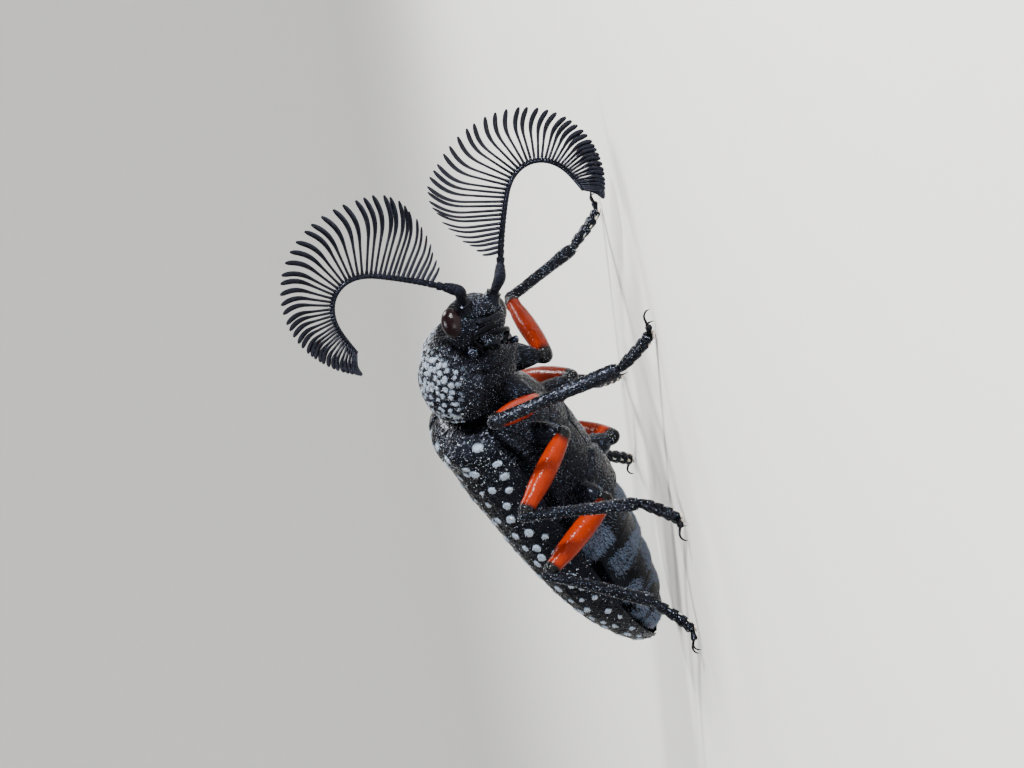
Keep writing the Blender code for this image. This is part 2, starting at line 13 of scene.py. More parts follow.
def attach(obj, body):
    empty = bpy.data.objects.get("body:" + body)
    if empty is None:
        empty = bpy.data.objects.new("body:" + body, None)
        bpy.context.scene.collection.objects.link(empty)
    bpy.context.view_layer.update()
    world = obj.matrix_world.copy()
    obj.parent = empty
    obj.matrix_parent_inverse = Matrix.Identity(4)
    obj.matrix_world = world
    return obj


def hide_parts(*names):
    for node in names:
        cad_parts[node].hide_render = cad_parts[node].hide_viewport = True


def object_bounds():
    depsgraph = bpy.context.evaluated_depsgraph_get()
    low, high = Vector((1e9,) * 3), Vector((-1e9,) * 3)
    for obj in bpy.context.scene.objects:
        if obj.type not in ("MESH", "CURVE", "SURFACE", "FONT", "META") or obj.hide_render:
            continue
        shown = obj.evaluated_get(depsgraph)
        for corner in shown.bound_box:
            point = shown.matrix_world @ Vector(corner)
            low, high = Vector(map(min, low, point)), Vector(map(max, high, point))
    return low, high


bl_info = {
    "name": "Feather-horned beetle",
    "version": (1, 0, 0),
    "blender": (4, 5, 0),
    "location": "View3D > Sidebar > Beetle",
    "description": "Builds a life-size feather-horned beetle, piece by piece",
    "category": "Add Mesh",
}

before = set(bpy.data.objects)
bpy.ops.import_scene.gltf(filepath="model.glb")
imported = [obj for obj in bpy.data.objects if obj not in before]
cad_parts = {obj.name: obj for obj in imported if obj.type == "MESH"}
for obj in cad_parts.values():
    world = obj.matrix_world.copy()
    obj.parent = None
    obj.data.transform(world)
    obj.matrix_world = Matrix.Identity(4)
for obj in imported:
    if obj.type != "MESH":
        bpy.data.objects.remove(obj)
CAD_LOW, CAD_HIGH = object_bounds()

MM = 0.001
GAP = 0.26  # between two solids of the frame that meet
FULL = 2 * math.pi
UPWARD = np.array([0.0, 0.0, 1.0])

# How the body is held, as in the part's source.
WAIST_FORWARD, WAIST_HEIGHT = 7.1, 8.15
TRUNK_PITCH, TRUNK_ROLL = math.radians(25.5), math.radians(15)
DROOP, YAW, TWIST = math.radians(31), math.radians(12), math.radians(3)
FACE_LOOKS, VERTEX_POINTS = (0.38, 0.74, -0.55), (0.9, -0.35, 0.15)
TRUNK_REACH, PROTHORAX_REACH = 3.0, 2.2  # from the waist to where its own slant has died away
CENTRE_SHIFT = (0.05, -6.24)  # right and forward, so that the beetle's box stands over the origin

# Behind the waist: half width, back above and belly below the line of the elytral margins.
TRUNK_SECTIONS = (
    (0.0, 2.1, 1.7, 1.7),
    (0.9, 3.2, 2.8, 2.4),
    (2.6, 3.5, 3.1, 2.9),
    (6.0, 3.5, 3.05, 3.0),
    (9.0, 3.6, 2.85, 2.7),
    (12.0, 3.2, 2.3, 2.1),
    (14.2, 2.3, 1.6, 1.5),
    (15.5, 1.3, 1.0, 0.9),
    (16.2, 0.5, 0.5, 0.5),
)
ELYTRA_SPAN = (0.3, 16.2)
ELYTRA_LENGTH = ELYTRA_SPAN[1] - ELYTRA_SPAN[0]
ELYTRON_WALL = 0.28
MARGIN_DROP = math.radians(12)
SKIN_UNDER = 0.5  # the body's own skin below the elytra's outer face
FLANK_INSET = 0.2
THORAX_TO = 7.8
VENTRITE_ENDS = (9.7, 11.3, 12.8, 14.2, 15.6)
SCUTELLUM = (0.62, 1.05)  # half width and length

# White tufts of an elytron: their lines as shares of the way to its edge, and their step along them.
TUFT_LINES = (0.1, 0.25, 0.4, 0.55, 0.7, 0.86)
TUFT_STEP = 0.92
OUTER_SHARE = 0.833  # of an elytron's columns that are its outer side

# Ahead of the waist: half width, back and breast.
PROTHORAX_SECTIONS = (
    (0.26, 2.65, 2.0, 1.5),
    (0.9, 2.95, 2.5, 2.0),
    (2.0, 2.7, 2.65, 2.1),
    (3.0, 2.15, 2.3, 1.8),
    (3.6, 1.65, 1.7, 1.4),
)

# Head, in its own frame: x to its left, y backward, z to the vertex.
HEAD_MIDDLE = (-0.5, 1.3, -0.3)
HEAD_HALF = (1.6, 1.25, 1.34)
EYE_MIDDLE, EYE_HALF = (1.24, -0.12, 0.22), (0.62, 0.6, 0.78)
EYE_RIM_HALF, EYE_RIM_RADIUS, EYE_RIM_INSET = (0.62, 0.8), 0.075, 0.12
SOCKET_ROOT, SOCKET_TIP = (0.75, -0.5, 0.5), (1.02, -0.95, 1.05)
SOCKET_RADII = ((0, 0.56), (0.5, 0.42), (0.8, 0.35), (0.93, 0.38), (1, 0.24))
# Plates from the brow down round the mouth: the middle line, then half thickness and half width by share.
HEAD_PLATES = {
    "clypeus": {
        "line": ((0, -1.06, 0.06), (0, -1.17, -0.08), (0, -1.22, -0.26)),
        "thick": ((0, 0.12), (0.8, 0.12), (1, 0.06)),
        "wide": ((0, 0.72), (0.5, 0.82), (1, 0.7)),
        "rows": 40, "cols": 60, "power": 2.8, "faces": (0, -1, 0), "relief": (0.4, 0.5, 0.11, 0.02, 55),
    },
    "labrum": {
        "line": ((0, -1.14, -0.22), (0, -1.24, -0.32), (0, -1.24, -0.44)),
        "thick": ((0, 0.1), (0.7, 0.08), (1, 0.03)),
        "wide": ((0, 0.46), (0.5, 0.5), (1, 0.36)),
        "rows": 40, "cols": 40, "power": 2.4, "faces": (0, -1, 0), "relief": None,
    },
    "maxillae": {
        "line": ((0, -0.5, -0.35), (0, -0.8, -0.65), (0, -0.88, -0.95), (0, -0.8, -1.2)),
        "thick": ((0, 0.3), (0.8, 0.26), (1, 0.12)),
        "wide": ((0, 0.62), (0.3, 0.76), (0.85, 0.66), (1, 0.5)),
        "rows": 40, "cols": 60, "power": 2.6, "faces": (0, -1, 0), "relief": (1.2, 0.6, 0.13, 0.035, 57),
    },
    "ligula": {
        "line": ((0, -0.7, -1.0), (0, -0.96, -1.14), (0, -1.02, -1.26), (0, -0.95, -1.36)),
        "thick": ((0, 0.14), (0.7, 0.11), (1, 0.04)),
        "wide": ((0, 0.3), (0.4, 0.36), (0.8, 0.32), (1, 0.2)),
        "rows": 40, "cols": 40, "power": 2.4, "faces": (0, -1, 0), "relief": None,
    },
    "lower lip": {
        "line": ((0, 0.25, -1.0), (0, -0.1, -1.22), (0, -0.5, -1.28)),
        "thick": ((0, 0.25), (0.8, 0.16), (1, 0.05)),
        "wide": ((0, 0.62), (1, 0.34)),
        "rows": 24, "cols": 36, "power": 2.0, "faces": (0, 0, -1), "relief": None,
    },
}
# Each mandible from its hinge under the cheek to its tip, on its own side. The right one crosses above.
MANDIBLES = {
    "right": (
        (0.62, -0.66, -1.25), (0.96, -0.74, -0.92), (1.03, -1.0, -0.6),
        (0.62, -1.28, -0.5), (0.1, -1.38, -0.42), (-0.24, -1.32, -0.33),
    ),
    "left": (
        (0.62, -0.66, -1.3), (0.92, -0.76, -1.1), (0.95, -1.0, -0.86),
        (0.55, -1.24, -0.82), (0.05, -1.32, -0.79), (-0.39, -1.26, -0.74),
    ),
}
MANDIBLE_RADII = ((0, 0.2), (0.2, 0.17), (0.6, 0.125), (0.85, 0.085), (1, 0.015))
# Palps: the line of each, and its joints from one share of it to another with their radius.
MAXILLARY_LINE = ((0.8, -0.2, -0.95), (0.9, -0.34, -1.25), (1.14, -0.56, -1.42), (1.44, -0.94, -1.45))
MAXILLARY_JOINTS = ((0, 0.2, 0.16), (0.18, 0.46, 0.17), (0.44, 0.7, 0.17), (0.68, 1, 0.19))
LABIAL_LINE = ((0.2, -0.4, -1.2), (0.28, -0.6, -1.42), (0.34, -0.8, -1.62))
LABIAL_JOINTS = ((0, 0.36, 0.09), (0.34, 0.68, 0.1), (0.66, 1, 0.12))

# Antennae: the long first joint, the bead after it, and the stem that carries the blades.
SCAPE_LENGTH, SCAPE_RADII, PEDICEL_RADIUS = 1.05, (0.2, 0.25, 0.29, 0.27, 0.19), 0.215
STEM_LENGTH, STEM_STEPS = 8.2, 400
STEM_RADII = ((0, 0.185), (0.5, 0.125), (1, 0.085))
# Blades: the stem's shares at the first and the last, rows, bend in degrees, twist, half sizes by share.
LAMELLAE_FROM, LAMELLAE_TO = 0.045, 0.992
LAMELLA_STEPS = 19
LAMELLA_BEND, LAMELLA_TWIST = 42, math.radians(58)
LAMELLA_THICK = ((0, 0.08), (0.1, 0.068), (0.5, 0.058), (0.92, 0.04), (1, 0.02))
LAMELLA_WIDE = (
    (0, 0.08), (0.08, 0.095), (0.3, 0.11), (0.5, 0.128),
    (0.7, 0.145), (0.88, 0.14), (0.97, 0.11), (1, 0.055),
)
KNOB_HIGH, KNOB_WIDE = (0.1, 0.09, 0.05), (0.1, 0.085, 0.04)  # at a blade's first three rows
# Where each fan faces, and its stem's heading in the fan's plane, in degrees: from start above forward it
# drifts evenly, and from the share curl of its length on it turns in one long curve.
ANTENNAE = {
    "right": {"facing": (0.41, 0.88, -0.1), "start": 68, "drift": 20, "turn": 122, "curl": 0.32},
    "left": {"facing": (0.52, 0.84, 0.05), "start": -13, "drift": -18, "turn": -122, "curl": 0.34},
}

# Legs: knee from the coxa and ankle from the knee (forward, to its own side, up), heading on the floor.
LEGS = {
    ("fore", "right"): {"knee": (0.6, 3.9, 2.2), "ankle": (1.6, 0.3), "heading": (0.9, 0.3)},
    ("mid", "right"): {"knee": (-2.4, 3.4, 2.5), "ankle": (-0.3, 0.3), "heading": (-0.25, 1)},
    ("hind", "right"): {"knee": (-2.1, 3.0, 3.3), "ankle": (-2.1, 0.6), "heading": (-0.8, 0.6)},
    ("fore", "left"): {"knee": (1.7, 4.1, 0.6), "ankle": (1.2, 2.2), "heading": (0.8, 0.6)},
    ("mid", "left"): {"knee": (-0.86, 4.06, 2.06), "ankle": (-1.54, 1.34), "heading": (-0.3, 1)},
    ("hind", "left"): {"knee": (-0.55, 4.26, 2.36), "ankle": (-2.35, 1.24), "heading": (-0.7, 0.7)},
}
HIP_RADII = (0.95, 0.82, 0.56, 0.34)
FORE_HIP = 0.9  # a fore hip's size as a share of the others'
FEMUR_RADIUS = {"fore": 0.52, "mid": 0.55, "hind": 0.58}
TIBIA_RADII = (0.18, 0.28, 0.29, 0.29, 0.32, 0.36, 0.3)
TARSUS_REACH, ANKLE_HEIGHT, FOOT_HEIGHT = 2.25, 1.9, 0.2
# Foot: its joints from one share of its line to another with their radius, and their swell along them.
TARSUS_JOINTS = ((0.0, 0.24, 0.29), (0.15, 0.42, 0.3), (0.33, 0.6, 0.3), (0.51, 0.77, 0.27))
HEART = ((0, 0.5), (0.15, 0.7), (0.55, 0.92), (0.85, 1.0), (1.0, 0.7))
LAST_JOINT, LAST_SWELL = ((0.72, 1.0, 0.16),), ((0, 0.6), (0.5, 0.8), (0.85, 1.1), (1, 0.8))
LOBE_RADII = ((0, 0.02), (0.3, 0.07), (0.8, 0.085), (1, 0.02))
CLAW_LINE = ((0.12, 0.12), (0.4, 0.17), (0.62, 0.05), (0.7, -0.16))  # outward and up from its root
CLAW_RADII = ((0, 0.08), (0.3, 0.075), (0.8, 0.045), (1, 0.008))
SIDES = {"right": 1, "left": -1}

# Hairs: length, half thickness, half width, lift off the skin, and how much their lie sways.
HAIRS = {
    "breast": (0.05, 0.006, 0.014, 0.3, 1.2),
    "belly": (0.2, 0.008, 0.01, 0.3, 0.5),
    "scutellum": (0.12, 0.008, 0.012, 0.25, 0.5),
    "pronotum": (0.095, 0.006, 0.026, 0.1, 1.0),
    "elytron": (0.09, 0.006, 0.027, 0.1, 0.9),
    "face": (0.055, 0.006, 0.012, 0.3, 1.6),
    "palp": (0.09, 0.006, 0.007, 0.6, 0.5),
    "jaw": (0.14, 0.007, 0.007, 0.6, 0.5),
    "hip": (0.16, 0.006, 0.007, 0.5, 0.5),
    "femur": (0.1, 0.005, 0.005, 0.3, 0.5),
    "tibia": (0.12, 0.007, 0.008, 0.5, 0.5),
    "limb scale": (0.06, 0.007, 0.018, 0.2, 1.2),
    "foot scale": (0.06, 0.007, 0.016, 0.2, 1.2),
    "blade": (0.07, 0.004, 0.004, 0.7, 0.5),
}
HAIR_BOW = 0.11  # how far a hair's waist stands off its chord, as a share of its length
HAIR_PATCH = 0.003  # of the bake map, for each hair

# The photograph's frame, where the waist is in it, and the camera: distance, lens, sensor and its lean.
PHOTO_WIDE, PHOTO_HIGH = 1024, 768
WAIST_PIXEL = (477, 392)
CAMERA_AZIMUTH, CAMERA_HEIGHT = math.radians(22), math.radians(3)
CAMERA_AWAY, CAMERA_LENS, CAMERA_SENSOR = 0.1457, 105, 36
LEAN_ACROSS, LEAN_ALONG = 0.983, 0.182

# The floor is a round board whose rim bends up: flat radius, radius of the bend, and the rim's place.
FLOOR_FLAT, FLOOR_BEND, FLOOR_RIM, FLOOR_COLS = 0.34, 0.2, (0.545, 0.42), 96
# Lamps: place from the beetle to the camera's right, up and back, size and watts. One hangs overhead.
LAMPS = {
    "key": ((-0.05, 0.1, 0.1), 0.016, 0.7),
    "fill": ((0.04, -0.03, 0.13), 0.05, 0.08),
    "rim": ((-0.11, 0.08, -0.06), 0.04, 0.25),
}
TOP_LAMP = ((0, 0, 0.7), 0.2, 4.0)
LOWEST_LAMP = 0.02
SKY_STRENGTH = 0.42


def linear(code):
    """The linear colour of an sRGB hex code."""
    parts = [int(code[i : i + 2], 16) / 255 for i in (1, 3, 5)]
    return tuple(c / 12.92 if c <= 0.04045 else ((c + 0.055) / 1.055) ** 2.4 for c in parts)


# Places


def direction(forward, right, up):
    """A direction in the beetle's own words, as a row vector."""
    return Vector((-right, -forward, up)).normalized()


def trunk_frame():
    """The frame of all behind the waist: pitched up, and rolled towards the camera."""
    right, forward = CENTRE_SHIFT
    origin = Vector((-right, -WAIST_FORWARD - forward, WAIST_HEIGHT)) * MM
    lean = Matrix.Rotation(-TRUNK_PITCH, 4, "X") @ Matrix.Rotation(TRUNK_ROLL, 4, "Y")
    return Matrix.Translation(origin) @ lean


def forebody_frame(share):
    """The trunk's frame bent by a share of the whole bend at the waist."""
    droop = Matrix.Rotation(DROOP * share, 4, "X")
    yaw = Matrix.Rotation(-YAW * share, 4, "Z")
    return TRUNK @ droop @ yaw @ Matrix.Rotation(TWIST * share, 4, "Y")


def head_frame():
    """The head's frame, ahead of the prothorax, from where the face looks and the vertex points."""
    back = -direction(*FACE_LOOKS)
    up = direction(*VERTEX_POINTS)
    up = (up - up.dot(back) * back).normalized()
    aside, ahead, high = HEAD_MIDDLE
    middle = PROTHORAX @ (Vector((aside, -PROTHORAX_SECTIONS[-1][0] - ahead, high)) * MM)
    turn = Matrix((back.cross(up), back, up)).transposed().to_4x4()
    return Matrix.Translation(middle) @ turn


TRUNK = trunk_frame()
WAIST = forebody_frame(0.5)
PROTHORAX = forebody_frame(1)
HEAD = head_frame()
COXAE = {
    "fore": ((0.9, -1.5, -0.9), (1.4, -1.2, -2.6), PROTHORAX),
    "mid": ((1.3, 2.8, -1.2), (2.4, 2.85, -2.85), TRUNK),
    "hind": ((1.4, 6.2, -1.3), (2.6, 6.7, -2.75), TRUNK),
}


def carried(points, place):
    """Points in millimetres in a frame, as points in metres in the row."""
    matrix = np.array(place)
    return np.asarray(points, float) @ matrix[:3, :3].T * MM + matrix[:3, 3]


def mirrored(points, side):
    """Points of the left side, or their mirror images on the right."""
    return np.asarray(points, float) * [-SIDES[side], 1, 1]


def on_head(points, side="left"):
    """Points in the head's frame, mirrored for the right side, as points in the row."""
    return carried(mirrored(points, side), HEAD)


def head_axis(x, y, z):
    """A direction in the head's frame, as one in the row."""
    return np.array(HEAD)[:3, :3] @ np.array([x, y, z], float)


def unit(vectors):
    """Vectors scaled to a length of 1."""
    return vectors / np.maximum(np.linalg.norm(vectors, axis=-1, keepdims=True), 1e-12)


def smooth(t):
    """A smooth step: 0 below 0, 1 above 1, and an even S between."""
    t = np.clip(t, 0.0, 1.0)
    return t * t * (3 - 2 * t)


def settled(points, place, reach):
    """Points carried from the waist's own slant over to the frame behind or ahead of it."""
    share = smooth(np.abs(points[..., 1:2]) / reach)
    return carried(points, WAIST) * (1 - share) + carried(points, place) * share


def through(table, at):
    """Values between the stations of a table, on a smooth cubic curve through them."""
    stations = np.asarray(table, float)
    grades = np.gradient(stations[:, 1:], stations[:, 0], axis=0)
    i = np.clip(np.searchsorted(stations[:, 0], at) - 1, 0, len(stations) - 2)
    run = (stations[i + 1, 0] - stations[i, 0])[..., None]
    t = (at - stations[i, 0])[..., None] / run
    return (
        (2 * t**3 - 3 * t**2 + 1) * stations[i, 1:]
        + (t**3 - 2 * t**2 + t) * run * grades[i]
        + (3 * t**2 - 2 * t**3) * stations[i + 1, 1:]
        + (t**3 - t**2) * run * grades[i + 1]
    )


def smooth_path(points, count):
    """A smooth curve through a few points or rows of values, at even steps of their numbering."""
    points = np.asarray(points, float)
    knots = np.arange(len(points), dtype=float)
    return through(np.column_stack([knots, points]), np.linspace(0, len(points) - 1, count))


def tapered(stations, share):
    """Values on straight runs between stations, each a share and a value."""
    return np.interp(share, *zip(*stations))


def on_line(line, share):
    """Points at shares of a line of evenly spaced points."""
    at = share * (len(line) - 1)
    i = np.clip(at.astype(int), 0, len(line) - 2)
    return line[i] + (line[i + 1] - line[i]) * (at - i)[..., None]


def turns(cols):
    """The angles of the columns of a ring."""
    return np.arange(cols)[None] * FULL / cols


def rounded(angle, wide, high, power=2.25):
    """Sideways and upward on a full, slightly squared oval."""
    c, s = np.cos(angle), np.sin(angle)
    x = wide * np.sign(c) * np.abs(c) ** (2 / power)
    return x, high * np.sign(s) * np.abs(s) ** (2 / power)


# Relief


def chance(i, j, seed):
    """A number from 0 to 1 that depends only on two whole numbers and a seed."""
    wave = np.sin(i * 127.1 + j * 311.7 + seed * 74.7) * 43758.5453
    return wave - np.floor(wave)


def cells(x, y, spacing, seed=0):
    """Distance to the nearest of a loose grid of points, as a share of their spacing."""
    gx, gy = np.floor(x / spacing), np.floor(y / spacing)
    nearest = np.full(np.broadcast(x, y).shape, 9.0)
    for di in (-1, 0, 1):
        for dj in (-1, 0, 1):
            i, j = gx + di, gy + dj
            px = i + 0.5 + 0.7 * (chance(i, j, seed) - 0.5)
            py = j + 0.5 + 0.7 * (chance(i, j, seed + 1) - 0.5)
            nearest = np.minimum(nearest, np.hypot(x / spacing - px, y / spacing - py))
    return nearest


def drift(x, y, spacing, seed=0):
    """Smooth noise from -1 to 1: chance at the corners of a grid, blended between them."""
    gx, gy = np.floor(x / spacing), np.floor(y / spacing)
    fx, fy = smooth(x / spacing - gx), smooth(y / spacing - gy)
    low = chance(gx, gy, seed) * (1 - fx) + chance(gx + 1, gy, seed) * fx
    high = chance(gx, gy + 1, seed) * (1 - fx) + chance(gx + 1, gy + 1, seed) * fx
    return 2 * (low * (1 - fy) + high * fy) - 1


def pits(x, y, spacing, radius=0.38, seed=0):
    """Round pits, 1 at their middles and 0 between them."""
    return 1 - smooth(cells(x, y, spacing, seed) / radius)


def ridge(distance, width):
    """A rounded ridge, 1 on its line."""
    return np.exp(-((distance / width) ** 2))


def tufts(u, v):
    """Round tufts in rows along an elytron, by the shares of its rows and columns: 1 on each, 0 between."""
    arc, behind = v / OUTER_SHARE, u * ELYTRA_LENGTH
    field = np.zeros_like(arc * behind)
    for row, line in enumerate(TUFT_LINES):
        near = behind / TUFT_STEP + chance(row, 3, 7)
        cell = np.floor(near)
        centre = cell + 0.5 + 0.55 * (chance(cell, row, 9) - 0.5)
        size = 0.09 + 0.13 * chance(cell, row, 11)
        across = (arc - line - 0.09 * (chance(cell, row, 13) - 0.5)) * 5.2
        gap = np.hypot((near - centre) * TUFT_STEP, across)
        field = np.maximum(field, 1 - smooth((gap - size * 0.85) / (size * 0.2)))
    return field * (v < OUTER_SHARE - 0.008) * smooth((u - 0.03) / 0.02) * (u < 0.985)


def net(u, v):
    """Blobs over the back of the prothorax that run together in places, by its rows' and columns' shares."""
    around, ahead = v * 15, u * 4.2
    grown = 0.28 + 0.1 * drift(around, ahead, 0.55, 104)
    blobs = 1 - smooth((cells(around, ahead, 0.34, 101) - grown) / 0.08)
    above = smooth((np.sin(v * FULL) + 0.02) / 0.3)
    return blobs * above * smooth((u - 0.09) / 0.04) * (1 - smooth((u - 0.87) / 0.06))


# Meshes


def holds(rings):
    """Six times the signed volume inside tubes of rings (tube, row, column, xyz), capped at both ends."""
    hub = rings.mean(axis=(1, 2), keepdims=True)
    a = rings - hub
    b = np.roll(a, -1, axis=2)
    walls = np.cross(a[:, :-1], b[:, :-1]) * b[:, 1:] + np.cross(a[:, :-1], b[:, 1:]) * a[:, 1:]
    caps = []
    for row, sign in ((0, -1), (-1, 1)):
        middle = a[:, row].mean(axis=1, keepdims=True)
        caps.append(sign * (np.cross(a[:, row], b[:, row]) * middle).sum(axis=(1, 2)))
    return walls.sum(axis=(1, 2, 3)) + caps[0] + caps[1]


def outward(rings):
    """Unit normals of one tube of rings (row, column, xyz), pointing out of what it encloses."""
    around = np.roll(rings, -1, axis=1) - np.roll(rings, 1, axis=1)
    along = np.gradient(rings, axis=0)
    return unit(np.cross(around, along)) * np.sign(holds(rings[None])[0])


def raised(rings, relief):
    """A tube of rings moved along its normals by a relief in millimetres."""
    return rings + outward(rings) * relief[..., None] * MM


def shares(rings):
    """The shares of the rows and the columns of a grid of rings, at its points."""
    rows, cols = rings.shape[:2]
    return np.meshgrid(np.arange(rows) / (rows - 1), np.arange(cols) / cols, indexing="ij")


def tubes(rings, finish=0, felt=None):
    """Closed tubes from rings (tube, row, column, xyz), each end closed by a fan to its middle.

    felt is the share of felt on a single tube by row and column.
    """
    rings = np.asarray(rings, float)
    rings = rings if rings.ndim == 4 else rings[None]
    flip = holds(rings) < 0
    rings = np.where(flip[:, None, None, None], rings[:, :, ::-1], rings)
    count, rows, cols, _ = rings.shape
    hubs = rings[:, [0, -1]].mean(axis=2)
    verts = np.concatenate([rings.reshape(count, rows * cols, 3), hubs], axis=1)
    i, j = np.meshgrid(np.arange(rows - 1), np.arange(cols), indexing="ij")
    k = (j + 1) % cols
    quads = np.stack([i * cols + j, i * cols + k, (i + 1) * cols + k, (i + 1) * cols + j], -1)
    quad_uv = np.stack([i, j, i, j + 1, i + 1, j + 1, i + 1, j], -1).reshape(-1, 4, 2)
    j = np.arange(cols)
    k = (j + 1) % cols
    first = np.stack([np.full(cols, rows * cols), k, j], -1)
    last = np.stack([np.full(cols, rows * cols + 1), (rows - 1) * cols + j, (rows - 1) * cols + k], -1)
    first_uv = np.stack([j * 0, j, j * 0, j + 1, j * 0, j], -1)
    last_uv = np.stack([j * 0, j, j * 0, j, j * 0, j + 1], -1) + [rows - 1, 0] * 3
    tri_uv = np.concatenate([first_uv, last_uv]).reshape(-1, 3, 2)
    scale = np.array([1 / (rows - 1), 1 / cols])
    step = (np.arange(count) * (rows * cols + 2))[:, None, None]
    felt = np.zeros((rows, cols)) if felt is None else felt
    felt = felt[:, ::-1] if flip[0] else felt
    return {
        "felt": np.tile(np.append(felt.ravel(), [felt[0].mean(), felt[-1].mean()]), count),
        "verts": verts.reshape(-1, 3),
        "quads": (quads.reshape(-1, 4)[None] + step).reshape(-1, 4),
        "tris": (np.concatenate([first, last])[None] + step).reshape(-1, 3),
        "quad_uv": np.tile(quad_uv * scale, (count, 1, 1)),
        "tri_uv": np.tile(tri_uv * scale, (count, 1, 1)),
        "finish": finish,
    }


def hoop(rings):
    """A closed ring of circles (circle, point, xyz), with no ends: the last circle joins the first."""
    rows, cols = rings.shape[:2]
    i, j = np.meshgrid(np.arange(rows), np.arange(cols), indexing="ij")
    k, m = (j + 1) % cols, (i + 1) % rows
    quads = np.stack([i * cols + j, i * cols + k, m * cols + k, m * cols + j], -1).reshape(-1, 4)
    a, b, c, d = np.moveaxis(rings.reshape(-1, 3)[quads] - rings.mean(axis=(0, 1)), 1, 0)
    volume = (np.cross(a, b) * c).sum() + (np.cross(a, c) * d).sum()
    quads = quads if volume > 0 else quads[:, ::-1]
    spot = np.stack([i, j, i, j + 1, i + 1, j + 1, i + 1, j], -1).reshape(-1, 4, 2) / [rows, cols]
    return {
        "verts": rings.reshape(-1, 3),
        "quads": quads,
        "tris": np.zeros((0, 3), int),
        "quad_uv": spot,
        "tri_uv": np.zeros((0, 3, 2)),
        "finish": 0,
    }


def spikes(roots, tips, side, thick, wide):
    """Hairs as solid spikes: a three-cornered foot, a three-cornered waist moved off the chord, a point."""
    chord = tips - roots
    lift = unit(np.cross(side, chord)) * np.linalg.norm(chord, axis=-1, keepdims=True)
    waist = roots + chord * 0.55 + lift * HAIR_BOW
    edge = side * wide
    rise = unit(lift) * thick
    corners = [roots - edge, roots + edge, roots + rise]
    corners += [waist - edge * 0.8, waist + edge * 0.8, waist + rise * 0.8, tips]
    verts = np.stack(corners, axis=1)
    quads = np.array([[0, 1, 4, 3], [1, 2, 5, 4], [2, 0, 3, 5]])
    tris = np.array([[0, 2, 1], [3, 4, 6], [4, 5, 6], [5, 3, 6]])
    volume = (np.cross(verts[:, 1] - verts[:, 0], verts[:, 2] - verts[:, 0]) * chord).sum(-1)
    flip = (volume < 0)[:, None, None]
    step = (np.arange(len(roots)) * 7)[:, None, None]
    quads = np.where(flip, quads[:, ::-1][None], quads[None]) + step
    tris = np.where(flip, tris[:, ::-1][None], tris[None]) + step
    return verts.reshape(-1, 3), quads.reshape(-1, 4), tris.reshape(-1, 3)


def piece(name, parts, finishes, replaces=(), sharp=50, uv_name="UVMap"):
    """One object of the model from closed parts, riding on the body and standing for its CAD nodes."""
    steps = np.cumsum([0] + [len(part["verts"]) for part in parts])
    verts = np.concatenate([part["verts"] for part in parts])
    quads = np.concatenate([part["quads"] + step for part, step in zip(parts, steps)])
    tris = np.concatenate([part["tris"] + step for part, step in zip(parts, steps)])
    corners = np.concatenate([quads.ravel(), tris.ravel()])
    starts = np.concatenate([np.arange(len(quads)) * 4, len(quads) * 4 + np.arange(len(tris)) * 3])
    mesh = bpy.data.meshes.new(name)
    mesh.vertices.add(len(verts))
    mesh.vertices.foreach_set("co", verts.ravel())
    mesh.loops.add(len(corners))
    mesh.loops.foreach_set("vertex_index", corners)
    mesh.polygons.add(len(starts))
    mesh.polygons.foreach_set("loop_start", starts)
    marks = [np.full(len(part[kind]), part["finish"]) for kind in ("quads", "tris") for part in parts]
    for finish in finishes:
        mesh.materials.append(finish)
    mesh.polygons.foreach_set("material_index", np.concatenate(marks))
    mesh.update(calc_edges=True)
    felt = np.concatenate([part.get("felt", np.zeros(len(part["verts"]))) for part in parts])
    if felt.any():
        mesh.attributes.new("felt", "FLOAT", "POINT").data.foreach_set("value", felt.astype(np.float32))
    uv = [part[kind].reshape(-1, 2) for kind in ("quad_uv", "tri_uv") for part in parts]
    mesh.uv_layers.new(name=uv_name).data.foreach_set("uv", np.concatenate(uv).ravel())
    mesh.shade_smooth()
    if sharp:
        mesh.set_sharp_from_angle(angle=math.radians(sharp))
    made = bpy.data.objects.new(name, mesh)
    bpy.context.scene.collection.objects.link(made)
    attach(made, "root")
    if replaces:
        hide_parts(*replaces)
    return made


def carry(path, high, wide, hint, cols, power=2.0, twist=0.0):
    """Rings carried along paths (..., row, xyz): half sizes along and across the hint, turned by a twist."""
    path = np.asarray(path, float)
    ahead = unit(np.gradient(path, axis=-2))
    across = unit(np.cross(ahead, np.broadcast_to(hint, ahead.shape)))
    along = np.cross(across, ahead)
    a, b = rounded(np.arange(cols) * FULL / cols + 0.5 * FULL / cols, 1.0, 1.0, power)
    turn = np.asarray(twist, float)[..., None, None] if np.ndim(twist) else twist
    one = along[..., None, :] * np.cos(turn) + across[..., None, :] * np.sin(turn)
    two = across[..., None, :] * np.cos(turn) - along[..., None, :] * np.sin(turn)
    high, wide = (np.asarray(size, float)[..., None, None] * MM for size in (high, wide))
    return path[..., None, :] + one * high * a[:, None] + two * wide * b[:, None]


def limb(points, radii, flat, hint, rows, cols):
    """Rings on a smooth path through points with these radii, and flatter across the hint."""
    values = smooth_path(np.column_stack([points, radii]), rows)
    return carry(values[:, :3], values[:, 3], values[:, 3] * flat, hint, cols)


def joints(path, edges, profile, hint, rows=14, cols=14, flat=1.0):
    """Closed joints along a path: each runs between two shares of it and swells by the profile."""
    path = np.asarray(path, float)
    edges = np.asarray(edges, float)
    t = edges[:, :1] + (edges[:, 1:2] - edges[:, :1]) * np.linspace(0, 1, rows)
    size = edges[:, 2:3] * tapered(profile, np.linspace(0, 1, rows))
    return carry(on_line(path, t), size, size * flat, hint, cols)


